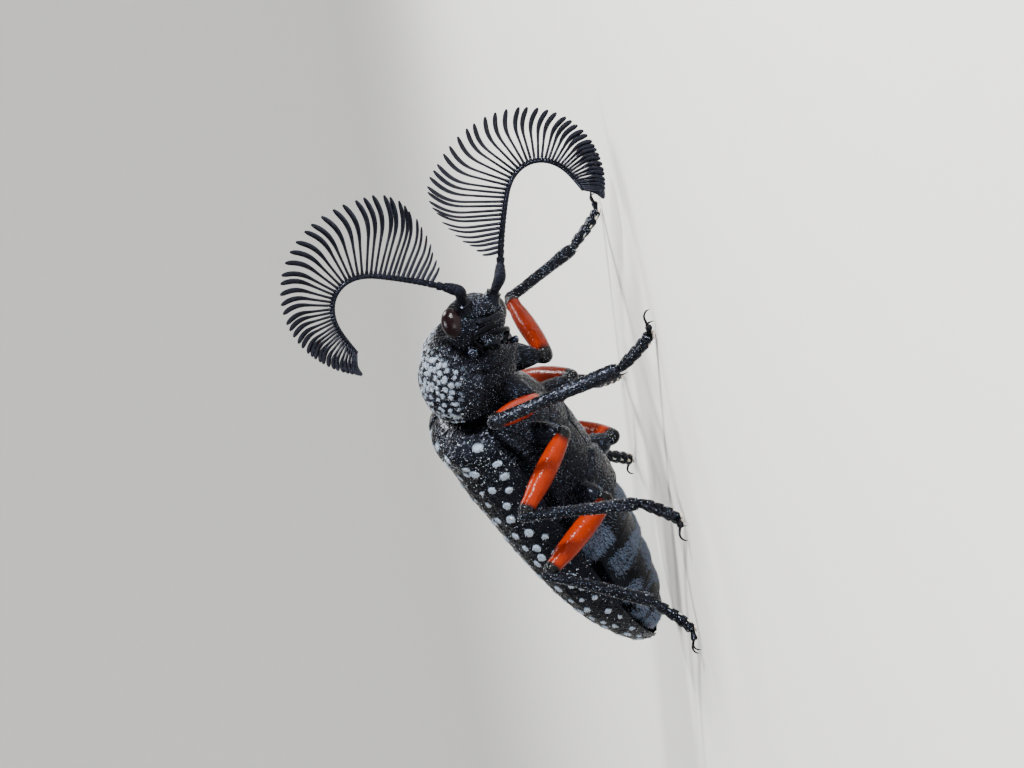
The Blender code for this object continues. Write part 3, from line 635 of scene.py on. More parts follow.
def tube_relief(rings, length, radius, pit, depth, seed):
    """Punctures and slow unevenness over a limb, from its length and its girth."""
    rows, cols = rings.shape[:2]
    along = np.linspace(0, length, rows)[:, None]
    around = turns(cols) * radius
    relief = -depth * pits(around, along, pit, 0.42, seed)
    return raised(rings, relief + depth * 0.5 * drift(around, along, pit * 3, seed + 1))


BEAD = ((0, 0.35), (0.06, 0.62), (0.3, 0.85), (0.75, 1.0), (0.93, 0.92), (1.0, 0.5))




# Finishes

FELT_COLOUR = linear("#8f9fb6")
ELYTRA_FELT, PRONOTUM_FELT = 0.85, 0.55  # how far felt hides the cuticle under the scales
BLUE_SHEEN = linear("#d0dbff")


def add(tree, kind, inputs=None, **settings):
    """Adds one node. Its own settings are named, and each input is a value or another node's output."""
    made = tree.nodes.new("ShaderNode" + kind)
    for name, value in settings.items():
        setattr(made, name, value)
    for name, value in (inputs or {}).items():
        if isinstance(value, bpy.types.NodeSocket):
            tree.links.new(value, made.inputs[name])
        else:
            made.inputs[name].default_value = value
    return made


def finish(name, colour, **shader_inputs):
    """A new material with its shader set. Gives the material, its nodes and the shader."""
    made = bpy.data.materials.new(name)
    made.use_nodes = True
    shader = made.node_tree.nodes["Principled BSDF"]
    shader.inputs["Base Color"].default_value = (*colour, 1)
    for key, value in shader_inputs.items():
        shader.inputs[key.replace("_", " ")].default_value = value
    return made, made.node_tree, shader


def mottled(tree, low, high, scale, detail):
    """Clouds between two colours, so many to the metre on Object coordinates: the colour and its noise."""
    place = add(tree, "TexCoord").outputs["Object"]
    cloud = add(tree, "TexNoise", {"Vector": place, "Scale": scale, "Detail": detail}).outputs["Fac"]
    shade = {"Factor": cloud, "A": (*low, 1), "B": (*high, 1)}
    return add(tree, "Mix", shade, data_type="RGBA").outputs["Result"], cloud


def dress(tree, shader, colour, height, strength, depth, **settings):
    """Gives the shader its colour and a relief: a height, how strongly it tells, its depth in metres."""
    bump = add(tree, "Bump", {"Height": height, "Strength": strength, "Distance": depth}, **settings)
    tree.links.new(colour, shader.inputs["Base Color"])
    tree.links.new(bump.outputs["Normal"], shader.inputs["Normal"])
    return bump


def sclerotised_cuticle(name, colour, bloom, pit, roughness):
    """Sclerotised chitin, tanned black as it hardened: a dense gloss broken by fine punctures and wax bloom.

    pit is the spacing of the finest punctures in millimetres. Felt hides the cuticle's colour and its gloss.
    """
    made, tree, shader = finish(
        name, colour, IOR=1.56, Specular_IOR_Level=0.1, Specular_Tint=(*BLUE_SHEEN, 1)
    )
    place = add(tree, "TexCoord").outputs["Object"]
    cloud = add(tree, "TexNoise", {"Vector": place, "Scale": 900.0, "Detail": 5.0, "Roughness": 0.62})
    cloud = cloud.outputs["Fac"]
    patch = add(tree, "MapRange", {"Value": cloud, "From Min": 0.42, "From Max": 0.72}).outputs["Result"]
    shade = {"Factor": patch, "A": (*colour, 1), "B": (*bloom, 1)}
    waxed = add(tree, "Mix", shade, data_type="RGBA").outputs["Result"]
    felt = add(tree, "Attribute", attribute_name="felt").outputs["Fac"]
    shade = {"Factor": felt, "A": waxed, "B": (*FELT_COLOUR, 1)}
    covered = add(tree, "Mix", shade, data_type="RGBA").outputs["Result"]
    span = {"From Min": 0.3, "From Max": 0.75, "To Min": roughness - 0.06, "To Max": roughness + 0.14}
    matt = add(tree, "MapRange", {"Value": cloud, **span}).outputs["Result"]
    dull = add(tree, "Mix", {"Factor": felt, "A": matt, "B": 0.7}, data_type="FLOAT")
    tree.links.new(dull.outputs["Result"], shader.inputs["Roughness"])
    dots = add(tree, "TexVoronoi", {"Vector": place, "Scale": 1000 / pit}).outputs["Distance"]
    bowl = add(tree, "MapRange", {"Value": dots, "From Min": 0.05, "From Max": 0.45}).outputs["Result"]
    pitted = add(tree, "Bump", {"Height": bowl, "Strength": 0.9, "Distance": 0.00004}).outputs["Normal"]
    fine = add(tree, "TexNoise", {"Vector": place, "Scale": 22000.0, "Detail": 2.0}).outputs["Fac"]
    bump = dress(tree, shader, covered, fine, 0.3, 0.00001)
    tree.links.new(pitted, bump.inputs["Normal"])
    return made


def femur_cuticle(colour):
    """Lightly tanned chitin: red-orange with a fine grain across the thigh, black at the knee and the hip."""
    made, tree, shader = finish(
        "red-orange femoral cuticle", colour, IOR=1.54, Roughness=0.2, Specular_IOR_Level=0.1
    )
    deep = (colour[0] * 0.7, colour[1] * 0.5, colour[2] * 0.5)
    bright = (min(colour[0] * 1.15, 1), colour[1] * 1.25, colour[2])
    orange, cloud = mottled(tree, deep, bright, 1400.0, 4.0)
    place = add(tree, "TexCoord").outputs["UV"]
    along = add(tree, "SeparateXYZ", {"Vector": place}).outputs["X"]
    wave = add(tree, "MapRange", {"Value": cloud, "To Min": -0.03, "To Max": 0.03}).outputs["Result"]
    edge = add(tree, "Math", {0: along, 1: wave}, operation="ADD").outputs[0]
    hip = add(tree, "MapRange", {"Value": edge, "From Min": 0.27, "From Max": 0.32}).outputs["Result"]
    knee = add(tree, "MapRange", {"Value": edge, "From Min": 0.85, "From Max": 0.8}).outputs["Result"]
    thigh = add(tree, "Math", {0: hip, 1: knee}, operation="MULTIPLY").outputs[0]
    shade = {"Factor": thigh, "A": (*linear("#050507"), 1), "B": orange}
    mix = add(tree, "Mix", shade, data_type="RGBA").outputs["Result"]
    grain = add(tree, "Mapping", {"Vector": place, "Scale": (62.0, 9.0, 1.0)}).outputs["Vector"]
    fold = add(tree, "TexNoise", {"Vector": grain, "Scale": 1.0, "Detail": 1.0}).outputs["Fac"]
    dress(tree, shader, mix, fold, 0.75, 0.00005)
    return made


def eye_cornea(colour):
    """Clear lens cuticle over dark brown pigment: a wet gloss over closely packed facets."""
    made, tree, shader = finish(
        "faceted eye cornea", colour, IOR=1.5, Roughness=0.18, Specular_IOR_Level=0.14
    )
    place = add(tree, "TexCoord").outputs["Object"]
    # Real lenses are about 0.03 mm across. They are drawn at 0.055 mm, so that they show.
    lens = add(tree, "TexVoronoi", {"Vector": place, "Scale": 1000 / 0.055, "Randomness": 0.25})
    lens = lens.outputs["Distance"]
    rim = add(tree, "MapRange", {"Value": lens, "From Min": 0.2, "From Max": 0.6}).outputs["Result"]
    shade = {"Factor": rim, "A": (*colour, 1), "B": (*[c * 0.35 for c in colour], 1)}
    mix = add(tree, "Mix", shade, data_type="RGBA").outputs["Result"]
    dress(tree, shader, mix, lens, 0.3, 0.00002, invert=True)
    return made


def lamella_cuticle(colour):
    """Thin black chitin under a film of wax: a faint blue-grey sheen and fine lines across each blade."""
    made, tree, shader = finish(
        "waxy lamella cuticle", colour, IOR=1.56, Roughness=0.3, Specular_IOR_Level=0.18,
        Specular_Tint=(*linear("#c8cdea"), 1),
    )
    mix, _ = mottled(tree, colour, linear("#0e0e14"), 2600.0, 3.0)
    place = add(tree, "TexCoord").outputs["UV"]
    stretch = add(tree, "Mapping", {"Vector": place, "Scale": (90.0, 14.0, 1.0)}).outputs["Vector"]
    scratch = add(tree, "TexNoise", {"Vector": stretch, "Scale": 1.0, "Detail": 2.0}).outputs["Fac"]
    dress(tree, shader, mix, scratch, 0.5, 0.00002)
    return made


def polished_chitin():
    """The hardest chitin, worn smooth by biting: black with a glassy gloss and hardly any relief."""
    made, tree, shader = finish(
        "polished mandible chitin", linear("#0b0706"), IOR=1.58, Roughness=0.12, Specular_IOR_Level=0.06,
        Specular_Tint=(*linear("#c8d4ff"), 1),
    )
    mix, cloud = mottled(tree, linear("#020202"), linear("#060404"), 3000.0, 3.0)
    dress(tree, shader, mix, cloud, 0.12, 0.00003)
    return made


def hair_chitin(name, colour, roughness):
    """Bristles of clear chitin full of air: pale and soft-edged, a quarter darker in patches."""
    made, tree, shader = finish(
        name, colour, IOR=1.5, Roughness=roughness, Subsurface_Weight=0.1, Subsurface_Scale=0.00005
    )
    mix, _ = mottled(tree, [c * 0.75 for c in colour], colour, 1500.0, 4.0)
    tree.links.new(mix, shader.inputs["Base Color"])
    return made


def tarsal_membrane():
    """Unhardened membrane under the foot joints: pale, soft and waxy, finely wrinkled."""
    pale = linear("#c9beb0")
    made, tree, shader = finish(
        "tarsal lobe membrane", pale, IOR=1.45, Roughness=0.55, Subsurface_Weight=0.3, Subsurface_Scale=0.0002
    )
    mix, cloud = mottled(tree, linear("#8d8378"), pale, 6000.0, 3.0)
    dress(tree, shader, mix, cloud, 0.4, 0.00003)
    return made


def matt_board(colour):
    """Cotton board, calendered but not coated: pale, even and without shine."""
    made, tree, shader = finish("pale matt board", colour, Roughness=0.85, IOR=1.4)
    mix, cloud = mottled(tree, [c * 0.965 for c in colour], colour, 260.0, 6.0)
    dress(tree, shader, mix, cloud, 0.1, 0.0001)
    return made


FINISHES = {}


def make_finishes(settings):
    """Makes each material once, under a short name for the operators."""
    bloom = linear("#090a0e")
    black = tuple(settings.cuticle)
    FINISHES.update(
        body=sclerotised_cuticle("black sclerotised cuticle", black, bloom, 0.11, 0.21),
        elytra=sclerotised_cuticle("black elytral cuticle", black, linear("#0a0c12"), 0.13, 0.22),
        leg=sclerotised_cuticle("black leg cuticle", black, linear("#08080b"), 0.09, 0.22),
        stem=sclerotised_cuticle("black antennal cuticle", black, linear("#0a0a12"), 0.08, 0.19),
        head=sclerotised_cuticle("black head cuticle", black, bloom, 0.1, 0.17),
        femur=femur_cuticle(tuple(settings.femur)),
        eye=eye_cornea(tuple(settings.eye)),
        lamella=lamella_cuticle(tuple(settings.lamella)),
        horn=polished_chitin(),
        white=hair_chitin("white scale hair", tuple(settings.hair), 0.5),
        # Pale blue pubescence: real fine hairs, made pale and speck-like so that they also stand in as
        # painted glints on the breast and the brow.
        pale=hair_chitin("pale blue pubescence and painted glints", linear("#aebbd6"), 0.35),
        bloom=hair_chitin("blue-grey pubescence", linear("#6c7f9c"), 0.4),
        grey=hair_chitin("grey-blue pubescence", linear("#525c74"), 0.4),
        membrane=tarsal_membrane(),
    )


# Skins: each is a grid of rings, and is used again to root the hairs

SKINS = {}


def elytron_skin(sign, pit):
    """Rings of one elytron: out over its back from the suture to the edge, and back inside.

    Relief: punctures a pit apart, three faint ribs, a bead along the suture and along the edge, the shoulder,
    and a low pad under each tuft.
    """
    first, last = ELYTRA_SPAN
    behind = first + (last - first) * np.linspace(0, 1, 300)[:, None]
    wide, back, _ = np.moveaxis(through(TRUNK_SECTIONS, behind), -1, 0)
    close = np.sqrt(np.clip(1 - ((behind - last + 0.5) / 0.52).clip(0) ** 2, 0.02, 1))
    lean = np.sqrt(np.clip(1 - ((first + 0.35 - behind) / 0.36).clip(0) ** 2, 0.02, 1)) * 0.12 + 0.88
    wide, back = wide * close * lean, back * close * lean
    t = np.linspace(0, 1, 110)[None]
    x, z = rounded(math.pi / 2 - (math.pi / 2 + MARGIN_DROP) * t, wide, back)
    arc = t * (0.75 * wide + 0.75 * back)
    bowls = pits(arc, behind, pit, 0.44, seed=2)
    relief = 0.014 * drift(arc, behind, 0.22, 5) + 0.02 * drift(arc, behind, 0.9, 6) - 0.05 * bowls
    fade = smooth((behind - 1.0) / 2.5) * smooth((15.0 - behind) / 3)
    for line in (0.24, 0.44, 0.64):
        relief = relief + 0.036 * fade * ridge(t - line, 0.03)
    relief = relief + 0.06 * ridge(arc, 0.1) + 0.05 * ridge((1 - t) * 4, 0.12)
    relief = relief + 0.22 * ridge(behind - 1.4, 0.7) * ridge(t - 0.66, 0.13)
    relief = relief + tufts((behind - first) / (last - first), t * OUTER_SHARE) * (0.05 * bowls + 0.025)
    wall = ELYTRON_WALL * close
    inner_angle = math.pi / 2 - (math.pi / 2 + MARGIN_DROP) * t[:, ::-5]
    inner_x, inner_z = rounded(inner_angle, np.maximum(wide - wall, 0.03), np.maximum(back - wall, 0.03))
    x, z = np.concatenate([x, inner_x], axis=1), np.concatenate([z, inner_z], axis=1)
    relief = np.concatenate([relief, np.zeros_like(inner_x)], axis=1)
    points = np.stack([-np.maximum(x, 0.012) * sign, behind + 0 * x, z], -1)
    return raised(settled(points, TRUNK, TRUNK_REACH), relief)


def scutellum_skin():
    """The small shield between the elytra: a flat oval, narrower behind, laid over the curve of the back."""
    half, long = SCUTELLUM
    t = np.linspace(0, 1, 30)[:, None]
    around = turns(40)
    swell = np.sqrt(np.clip(1 - (t * 2 - 1) ** 2, 0.002, 1))
    x = half * swell * (1.15 - 0.6 * t) * np.cos(around)
    behind = ELYTRA_SPAN[0] - 0.15 + (long + 0.2) * t + 0 * x
    top = through(TRUNK_SECTIONS, behind)[..., 1] * (1 - (np.abs(x) / 9) ** 2)
    return settled(np.stack([x, behind, top + 0.16 * np.sin(around) * swell], -1), TRUNK, TRUNK_REACH)


def belly_rings(behind, cols, shrink=0.0):
    """The body below the elytra: the elytra's inner side above, the belly below. Gives x and z too."""
    wide, back, belly = np.moveaxis(through(TRUNK_SECTIONS, behind), -1, 0)
    flank = np.minimum(SKIN_UNDER - FLANK_INSET, wide / 4)
    angle = turns(cols)
    high = np.where(np.sin(angle) < 0, belly, np.maximum(back - SKIN_UNDER, 0.2))
    out = smooth((-np.sin(angle) - math.sin(MARGIN_DROP) - 0.02) / 0.2)
    across = np.maximum(wide - SKIN_UNDER + flank * out, 0.3) - shrink
    x, z = rounded(angle, across, high - shrink)
    points = np.stack([x, behind + 0 * x, z], -1)
    return settled(points, TRUNK, TRUNK_REACH), x, z


def thorax_skin():
    """Middle and hind breast: sunk lines part the plates, and the hip plates stand a little proud.

    The lines are given by how far behind the waist they run for each distance from the middle.
    """
    behind = np.linspace(0.0, THORAX_TO, 190)[:, None]
    rings, x, z = belly_rings(behind, 340)
    out = np.abs(x)
    below = smooth(-z / 0.6)
    relief = -0.05 * pits(x * 1.15, behind + 0 * x, 0.19, 0.42, seed=11) + 0.02 * drift(x, behind, 0.35, 3)
    lines = (
        behind - 2.15 - 0.28 * out,
        behind - 3.6 + 0.32 * out,
        behind - 5.35 - 0.34 * out,
        out - 2.55 - 0.05 * behind,
    )
    for line in lines:
        relief = relief - 0.09 * ridge(line, 0.07) * below
    middle = ridge(x, 0.05) * smooth((behind - 3.4) / 0.3) * smooth((5.4 - behind) / 0.3)
    hips = 0.16 * smooth((behind - 5.4 - 0.34 * out) / 0.25) + 0.12 * smooth((out - 2.6) / 0.25)
    relief = relief + (hips - 0.1 * middle) * below
    return raised(rings, relief * smooth(behind / 0.4))


def ventrite_skin(number):
    """One belly plate: its front tucked under the plate before, its hind edge raised and turned in."""
    first = (THORAX_TO, *VENTRITE_ENDS)[number - 1]
    last = VENTRITE_ENDS[number - 1]
    t = np.linspace(0, 1, 56)[:, None]
    behind = first - 0.3 + (last - first + 0.3) * t
    edge = last - behind
    is_last = number == len(VENTRITE_ENDS)
    close = 1 - np.sqrt(np.clip(1 - (1 - edge / 0.7).clip(0) ** 2, 0, 1))
    rings, x, _ = belly_rings(behind, 300, 0.38 * close * is_last)
    relief = -0.14 + 0.16 * smooth(t * 1.15) + 0.03 * ridge(edge - 0.12, 0.08)
    relief = relief - 0.16 * (1 - smooth(edge / 0.07))
    relief = relief - 0.02 * pits(x * 1.1, behind + 0 * x, 0.16, seed=20 + number)
    relief = relief + 0.015 * drift(x, behind, 0.5, 30 + number)
    return raised(rings, relief - 0.08 * (1 - smooth(edge / 0.5)) * is_last)


def prothorax_skin(pit):
    """Front body ring: punctures a pit apart, a bead at each end, a shallow furrow along the back."""
    first, last = PROTHORAX_SECTIONS[0][0], PROTHORAX_SECTIONS[-1][0]
    ahead = first - 0.35 + (last - first + 0.45) * np.linspace(0, 1, 190)[:, None]
    wide, back, breast = np.moveaxis(through(PROTHORAX_SECTIONS, ahead.clip(first, last)), -1, 0)
    tuck = 1 - 0.16 * smooth((first - ahead) / 0.35) - 0.12 * smooth((ahead - last) / 0.1)
    angle = turns(380)
    x, z = rounded(angle, wide * tuck, np.where(np.sin(angle) < 0, breast, back) * tuck)
    rings = settled(np.stack([x, -ahead + 0 * x, z], -1), PROTHORAX, PROTHORAX_REACH)
    arc = angle * 2.4
    relief = -0.05 * pits(arc, ahead, pit * 1.05, 0.42, seed=41)
    relief = relief + 0.05 * drift(arc, ahead, 0.8, 42) + 0.02 * drift(arc, ahead, 0.25, 43)
    for line in (first + 0.12, last - 0.08):
        relief = relief + 0.07 * ridge(ahead - line, 0.09)
    relief = relief - 0.14 * ridge(x, 0.35) * smooth(z) * ridge(ahead - 1.7, 1.3)
    relief = relief - 0.12 * ridge(ahead - 2.75 - 0.12 * np.abs(x), 0.1) * smooth(-z / 0.5)
    return raised(rings, relief)


def ball(half, rows, cols, power=2.0):
    """Rings of an oval ball in millimetres about its middle, from pole to pole."""
    down = np.linspace(0.015, math.pi - 0.015, rows)[:, None]
    x, y = rounded(turns(cols), 1.0, 1.0, power)
    return np.stack([x * np.sin(down), y * np.sin(down), np.cos(down) + 0 * x], -1) * half


def head_skin():
    """Head capsule, an oval ball: a full brow between the feelers, hollow temples, dense deep punctures."""
    points = ball(HEAD_HALF, 210, 300, 2.15)
    x, y, z = np.moveaxis(points, -1, 0)
    front = smooth(-y / 0.7)
    relief = 0.14 * front * ridge(x, 0.7) * ridge(z - 0.55, 0.5)
    relief = relief - 0.12 * front * ridge(np.abs(x) - 0.62, 0.2) * ridge(z - 0.25, 0.45)
    middle = front * smooth((1.1 - np.abs(x)) / 0.3)
    relief = relief - 0.12 * middle * ridge(z - 0.02 - 0.16 * x * x, 0.08)
    relief = relief + 0.07 * middle * ridge(z - 0.16 - 0.16 * x * x, 0.07)
    # Punctures in rows round the capsule, and on a flat grid over its two poles.
    coarse = pits(np.arctan2(x, -y) * 1.35, z * 1.2, 0.125, 0.46, seed=51)
    crown = smooth((np.abs(z) / HEAD_HALF[2] - 0.76) / 0.06)
    coarse = coarse * (1 - crown) + pits(x, y, 0.125, 0.46, seed=53) * crown
    relief = relief - 0.075 * coarse * (1 - 0.4 * smooth((-z - 0.3) / 0.2))
    return raised(on_head(points), relief + 0.03 * drift(x, z, 0.16, 52))


def head_plate(line, thick, wide, rows, cols, power, faces, relief):
    """A flattened squarish tube along a line of the head, punctured where it has a relief."""
    share = np.linspace(0, 1, rows)
    path = on_head(smooth_path(line, rows))
    plate = carry(path, tapered(thick, share), tapered(wide, share), head_axis(*faces), cols, power=power)
    return tube_relief(plate, *relief) if relief else plate


def neck_skin():
    """A short sleeve from the back of the head into the front body ring."""
    neck = carried([0, -PROTHORAX_SECTIONS[-1][0] + 0.5, 0], PROTHORAX)
    middle = (neck + on_head((0, 0.5, -0.1))) / 2
    path = smooth_path([neck, middle, on_head((0, 0.4, -0.1))], 20)
    sleeve = carry(path, np.linspace(1.2, 1.0, 20), np.linspace(1.35, 1.1, 20), head_axis(0, 0, 1), 90)
    return tube_relief(sleeve, 1.6, 1.2, 0.16, 0.03, 56)


def socket_skin(side):
    """The socket of an antenna: a short collar with a rolled rim."""
    root, tip = on_head(SOCKET_ROOT, side), on_head(SOCKET_TIP, side)
    t = np.linspace(0, 1, 30)
    size = tapered(SOCKET_RADII, t)
    return carry(root + (tip - root) * t[:, None], size, size, head_axis(0, -1, 0), 40)


def eye_rim(side):
    """A thin roll of cuticle round an eye: circles set on an oval, each in the plane through its middle."""
    x, y, z = EYE_MIDDLE
    angle = np.arange(64) * FULL / 64
    out = np.stack([0 * angle, np.cos(angle), np.sin(angle)], -1)
    rim = np.array([x - EYE_RIM_INSET, y, z]) + out * [1, *EYE_RIM_HALF]
    circle = turns(10)[0][:, None]
    round_it = out[:, None] * np.cos(circle) + np.array([1, 0, 0]) * np.sin(circle)
    return on_head(rim[:, None] + EYE_RIM_RADIUS * round_it, side)


def mouth_pieces(side):
    """A curved mandible, a maxillary palp of four joints and a labial palp of three."""
    forward = head_axis(0, -1, 0)
    size = tapered(MANDIBLE_RADII, np.linspace(0, 1, 50))
    line = on_head(smooth_path(MANDIBLES[side], 50), side)
    blade = carry(line, size * 0.85, size, forward, 28, power=1.9)
    piece(f"mandible_{side}_blade", [tubes(blade)], [FINISHES["horn"]], [f"mandible_{side}"])
    line = on_head(smooth_path(MAXILLARY_LINE, 60), side)
    maxillary = joints(line, MAXILLARY_JOINTS, BEAD, forward, 14, 20)
    line = on_head(smooth_path(LABIAL_LINE, 40), side)
    labial = joints(line, LABIAL_JOINTS, BEAD, forward, 12, 16)
    parts = [tubes(maxillary), tubes(labial)]
    piece(f"palp_{side}_joints", parts, [FINISHES["stem"]], [f"palp_{side}"])
    SKINS[f"palp_{side}"] = maxillary


# Antennae


def fan_axes(facing):
    """Forward and up in the plane of a fan that faces the given way, and the way it faces."""
    out = direction(*facing)
    up = (Vector((0, 0, 1)) - out.z * out).normalized()
    forward = up.cross(out)
    forward = forward if forward.dot(Vector((0, -1, 0))) > 0 else -forward
    return np.array(forward), np.array(up), np.array(out)


def fan_direction(antenna, angle):
    """Directions in a fan's plane, by their angles above forward."""
    forward, up, _ = fan_axes(antenna["facing"])
    angle = np.asarray(angle)[..., None]
    return forward * np.cos(angle) + up * np.sin(angle)


def stem_heading(antenna, u):
    """The stem's angle above forward at shares of its length: nearly straight, then in one long curl."""
    turned = antenna["turn"] * smooth((u - antenna["curl"]) / 0.6)
    return np.radians(antenna["start"] + antenna["drift"] * u + turned)


def scape_line(antenna, side):
    """The scape's aim, start, end, and the stem's heading where it begins."""
    tip = on_head(SOCKET_TIP, side)
    aim = unit(tip - on_head(SOCKET_ROOT, side))
    ahead = fan_direction(antenna, stem_heading(antenna, np.zeros(1)))[0]
    start = tip + aim * GAP * MM
    return aim, start, start + unit(aim + ahead * 1.6) * SCAPE_LENGTH * MM, ahead


def stem_line(antenna, side):
    """The stem, from its heading summed along its length."""
    _, _, end, ahead = scape_line(antenna, side)
    u = (np.arange(STEM_STEPS) + 0.5) / STEM_STEPS
    steps = fan_direction(antenna, stem_heading(antenna, u)) * STEM_LENGTH * MM / STEM_STEPS
    start = end + ahead * GAP * MM
    return np.concatenate([start[None], start + np.cumsum(steps, axis=0)])


def lamella_length(u):
    """Short at the base of the fan, longest before the middle, shorter again at its end."""
    return (0.4 + 3.5 * smooth((u + 0.05) / 0.4)) * (1 - 0.7 * np.maximum(u - 0.36, 0) / 0.64)


def lamella_angle(u):
    """Degrees between a blade and the stem's heading."""
    return 112 - 39 * u - 35 * smooth((u - 0.86) / 0.14)


def lamella_lines(antenna, line, count, steps):
    """Middle lines of the blades (blade, row, xyz): straight out, then bent to the tip side and outward.

    Gives their places along the stem too: they stand closer towards its end.
    """
    t = np.linspace(0, 1, count)
    u = LAMELLAE_FROM + (LAMELLAE_TO - LAMELLAE_FROM) * t * (1.4 - 0.4 * t)
    out = fan_axes(antenna["facing"])[2]
    turned = math.copysign(1, antenna["turn"])
    wobble = 0.9 * np.sin(np.arange(count) * 2.4) + 0.7 * np.sin(np.arange(count) * 5.1)
    middle = (steps[1:] + steps[:-1]) / 2
    bend = LAMELLA_BEND * smooth((middle - 0.45) / 0.55) * (0.3 + 0.7 * smooth(u / 0.4))[:, None]
    heading = np.degrees(stem_heading(antenna, u)) - turned * (lamella_angle(u) + wobble)
    ahead = fan_direction(antenna, np.radians(heading[:, None] + turned * bend))
    ahead = ahead + out * 0.22 * middle[:, None]
    reach = ahead * (lamella_length(u)[:, None] * np.diff(steps)[None])[..., None] * MM
    root = on_line(line, u)[:, None]
    return np.concatenate([root, root + np.cumsum(reach, axis=1)], axis=1), u


def scape_parts(antenna, side):
    """The long first joint, narrow at the socket and punctured all round, and the bead after it."""
    out = fan_axes(antenna["facing"])[2]
    aim, start, end, ahead = scape_line(antenna, side)
    path = [start - aim * 0.35 * MM, start, start + aim * 0.4 * MM, end - ahead * 0.35 * MM, end]
    rings = limb(path, SCAPE_RADII, 1.0, out, 60, 48)
    along = np.linspace(0, 1.6, 60)[:, None]
    relief = -0.045 * pits(turns(48) * 0.33, along, 0.12, 0.45, seed=61) + 0.02 * ridge(along - 1.5, 0.06)
    bead = np.stack([end - ahead * 0.08 * MM, end + ahead * 0.34 * MM])
    pedicel = joints(bead, [(0, 1, PEDICEL_RADIUS)], BEAD, out, 16, 24)
    return [tubes(raised(rings, relief)), tubes(pedicel)]


def fan_parts(antenna, side, count):
    """The stem's beads and core, and a knob and a blade on each bead. Gives the blades' rings too.

    A blade is a flat strap, narrow at its root and broad before its blunt tip, turned about its middle line.
    The blades at the fan's base are slimmer, thicker and less turned.
    """
    out = fan_axes(antenna["facing"])[2]
    line = stem_line(antenna, side)
    steps = np.linspace(0, 1, LAMELLA_STEPS)
    blades, u = lamella_lines(antenna, line, count, steps)
    edges = np.concatenate([[0.0], (u[:-1] + u[1:]) / 2, [1.0]])
    radius = tapered(STEM_RADII, (edges[:-1] + edges[1:]) / 2) * 0.95
    beads = joints(line, np.stack([edges[:-1] - 0.003, edges[1:] + 0.001, radius], -1), BEAD, out, 10, 14)
    core = joints(line, [(0, 1, 1)], ((0, 0.15), (0.5, 0.12), (1, 0.06)), out, 120, 8)
    every = 0 * u[:, None]
    knobs = carry(blades[:, :3], np.array(KNOB_HIGH) + every, np.array(KNOB_WIDE) + every, out, 10)
    spread = smooth((u[:, None] - 0.08) / 0.3)
    rise = np.clip(steps * lamella_length(u)[:, None] / 0.45, 0, 1)
    wide = tapered(LAMELLA_WIDE, steps) * (0.75 + 0.25 * rise) * (0.62 + 0.38 * spread)
    thick = tapered(LAMELLA_THICK, steps) * (1.35 - 0.35 * spread)
    turned = math.copysign(1, antenna["turn"])
    twist = turned * LAMELLA_TWIST * smooth((steps - 0.12) / 0.75) * (0.25 + 0.75 * spread)
    lamellae = carry(blades, wide, thick, out, 10, power=1.7, twist=twist)
    return [tubes(beads, 0), tubes(core, 0), tubes(knobs, 0), tubes(lamellae, 1)], lamellae


def antenna_pieces(side, count):
    """An antenna's scape, and its fan of so many blades."""
    antenna = ANTENNAE[side]
    scape = scape_parts(antenna, side)
    piece(f"scape_{side}_skin", scape, [FINISHES["stem"]], [f"scape_{side}"])
    parts, SKINS[f"fan_{side}"] = fan_parts(antenna, side, count)
    halves = (f"fan_{side}_inner", f"fan_{side}_outer")
    finishes = [FINISHES["stem"], FINISHES["lamella"]]
    piece(f"fan_{side}", parts, finishes, halves, sharp=60)


# Legs


def leg_line(pair, side):
    """The points and directions of one leg, from its named values."""
    leg = LEGS[pair, side]
    sunk, low, place = COXAE[pair]
    root, tip = carried(mirrored(sunk, side), place), carried(mirrored(low, side), place)
    aim = unit(tip - root)
    start = tip + aim * GAP * MM
    hand = -SIDES[side]
    forward, out, up = leg["knee"]
    knee = start + np.array([out * hand, -forward, up]) * MM
    forward, out = leg["ankle"]
    ankle = knee + np.array([out * hand, -forward, 0]) * MM
    ankle[2] = ANKLE_HEIGHT * MM
    forward, out = leg["heading"]
    flat = unit(np.array([out * hand, -forward, 0.0]))
    foot = ankle + flat * TARSUS_REACH * MM
    foot[2] = FOOT_HEIGHT * MM
    thigh, shin = unit(knee - start), unit(ankle - knee)
    return {
        "root": root,
        "aim": aim,
        "start": start,
        "knee": knee,
        "ankle": ankle,
        "foot": foot,
        "flat": flat,
        "thigh": thigh,
        "shin": shin,
        "bend": unit(thigh + shin),
        "hint": unit(np.cross(thigh, shin)),
    }


def hip_skin(leg, pair, seed):
    """A fat cone sunk in the breast, narrowing to the trochanter."""
    root, start, aim = leg["root"], leg["start"], leg["aim"]
    path = [root, root * 0.5 + start * 0.5, start - aim * 0.3 * MM, start + aim * 0.08 * MM]
    radii = np.array(HIP_RADII) * (FORE_HIP if pair == "fore" else 1.0)
    return tube_relief(limb(path, radii, 0.92, leg["hint"], 40, 56), 2.6, 0.8, 0.14, 0.025, seed)


def femur_skin(leg, pair, seed):
    """From the hip round the bend of the trochanter: a spindle, thickest before its middle, to the knee."""
    start, aim, thigh, knee = leg["start"], leg["aim"], leg["thigh"], leg["knee"]
    path = [start + aim * a * MM + thigh * b * MM for a, b in ((-0.12, 0), (0.16, 0.02), (0.45, 0.1))]
    path += [start * (1 - t) + knee * t + aim * (1 - t) * 0.5 * MM for t in (0.25, 0.5, 0.7, 0.82, 0.93)]
    path += [knee + leg["bend"] * 0.1 * MM]
    thick = FEMUR_RADIUS[pair]
    radii = (0.26, 0.37, 0.38, thick * 0.93, thick, thick * 0.9, thick * 0.76, 0.4, 0.24)
    return tube_relief(limb(path, radii, 0.94, leg["hint"], 110, 56), 5.0, 0.5, 0.12, 0.012, seed)


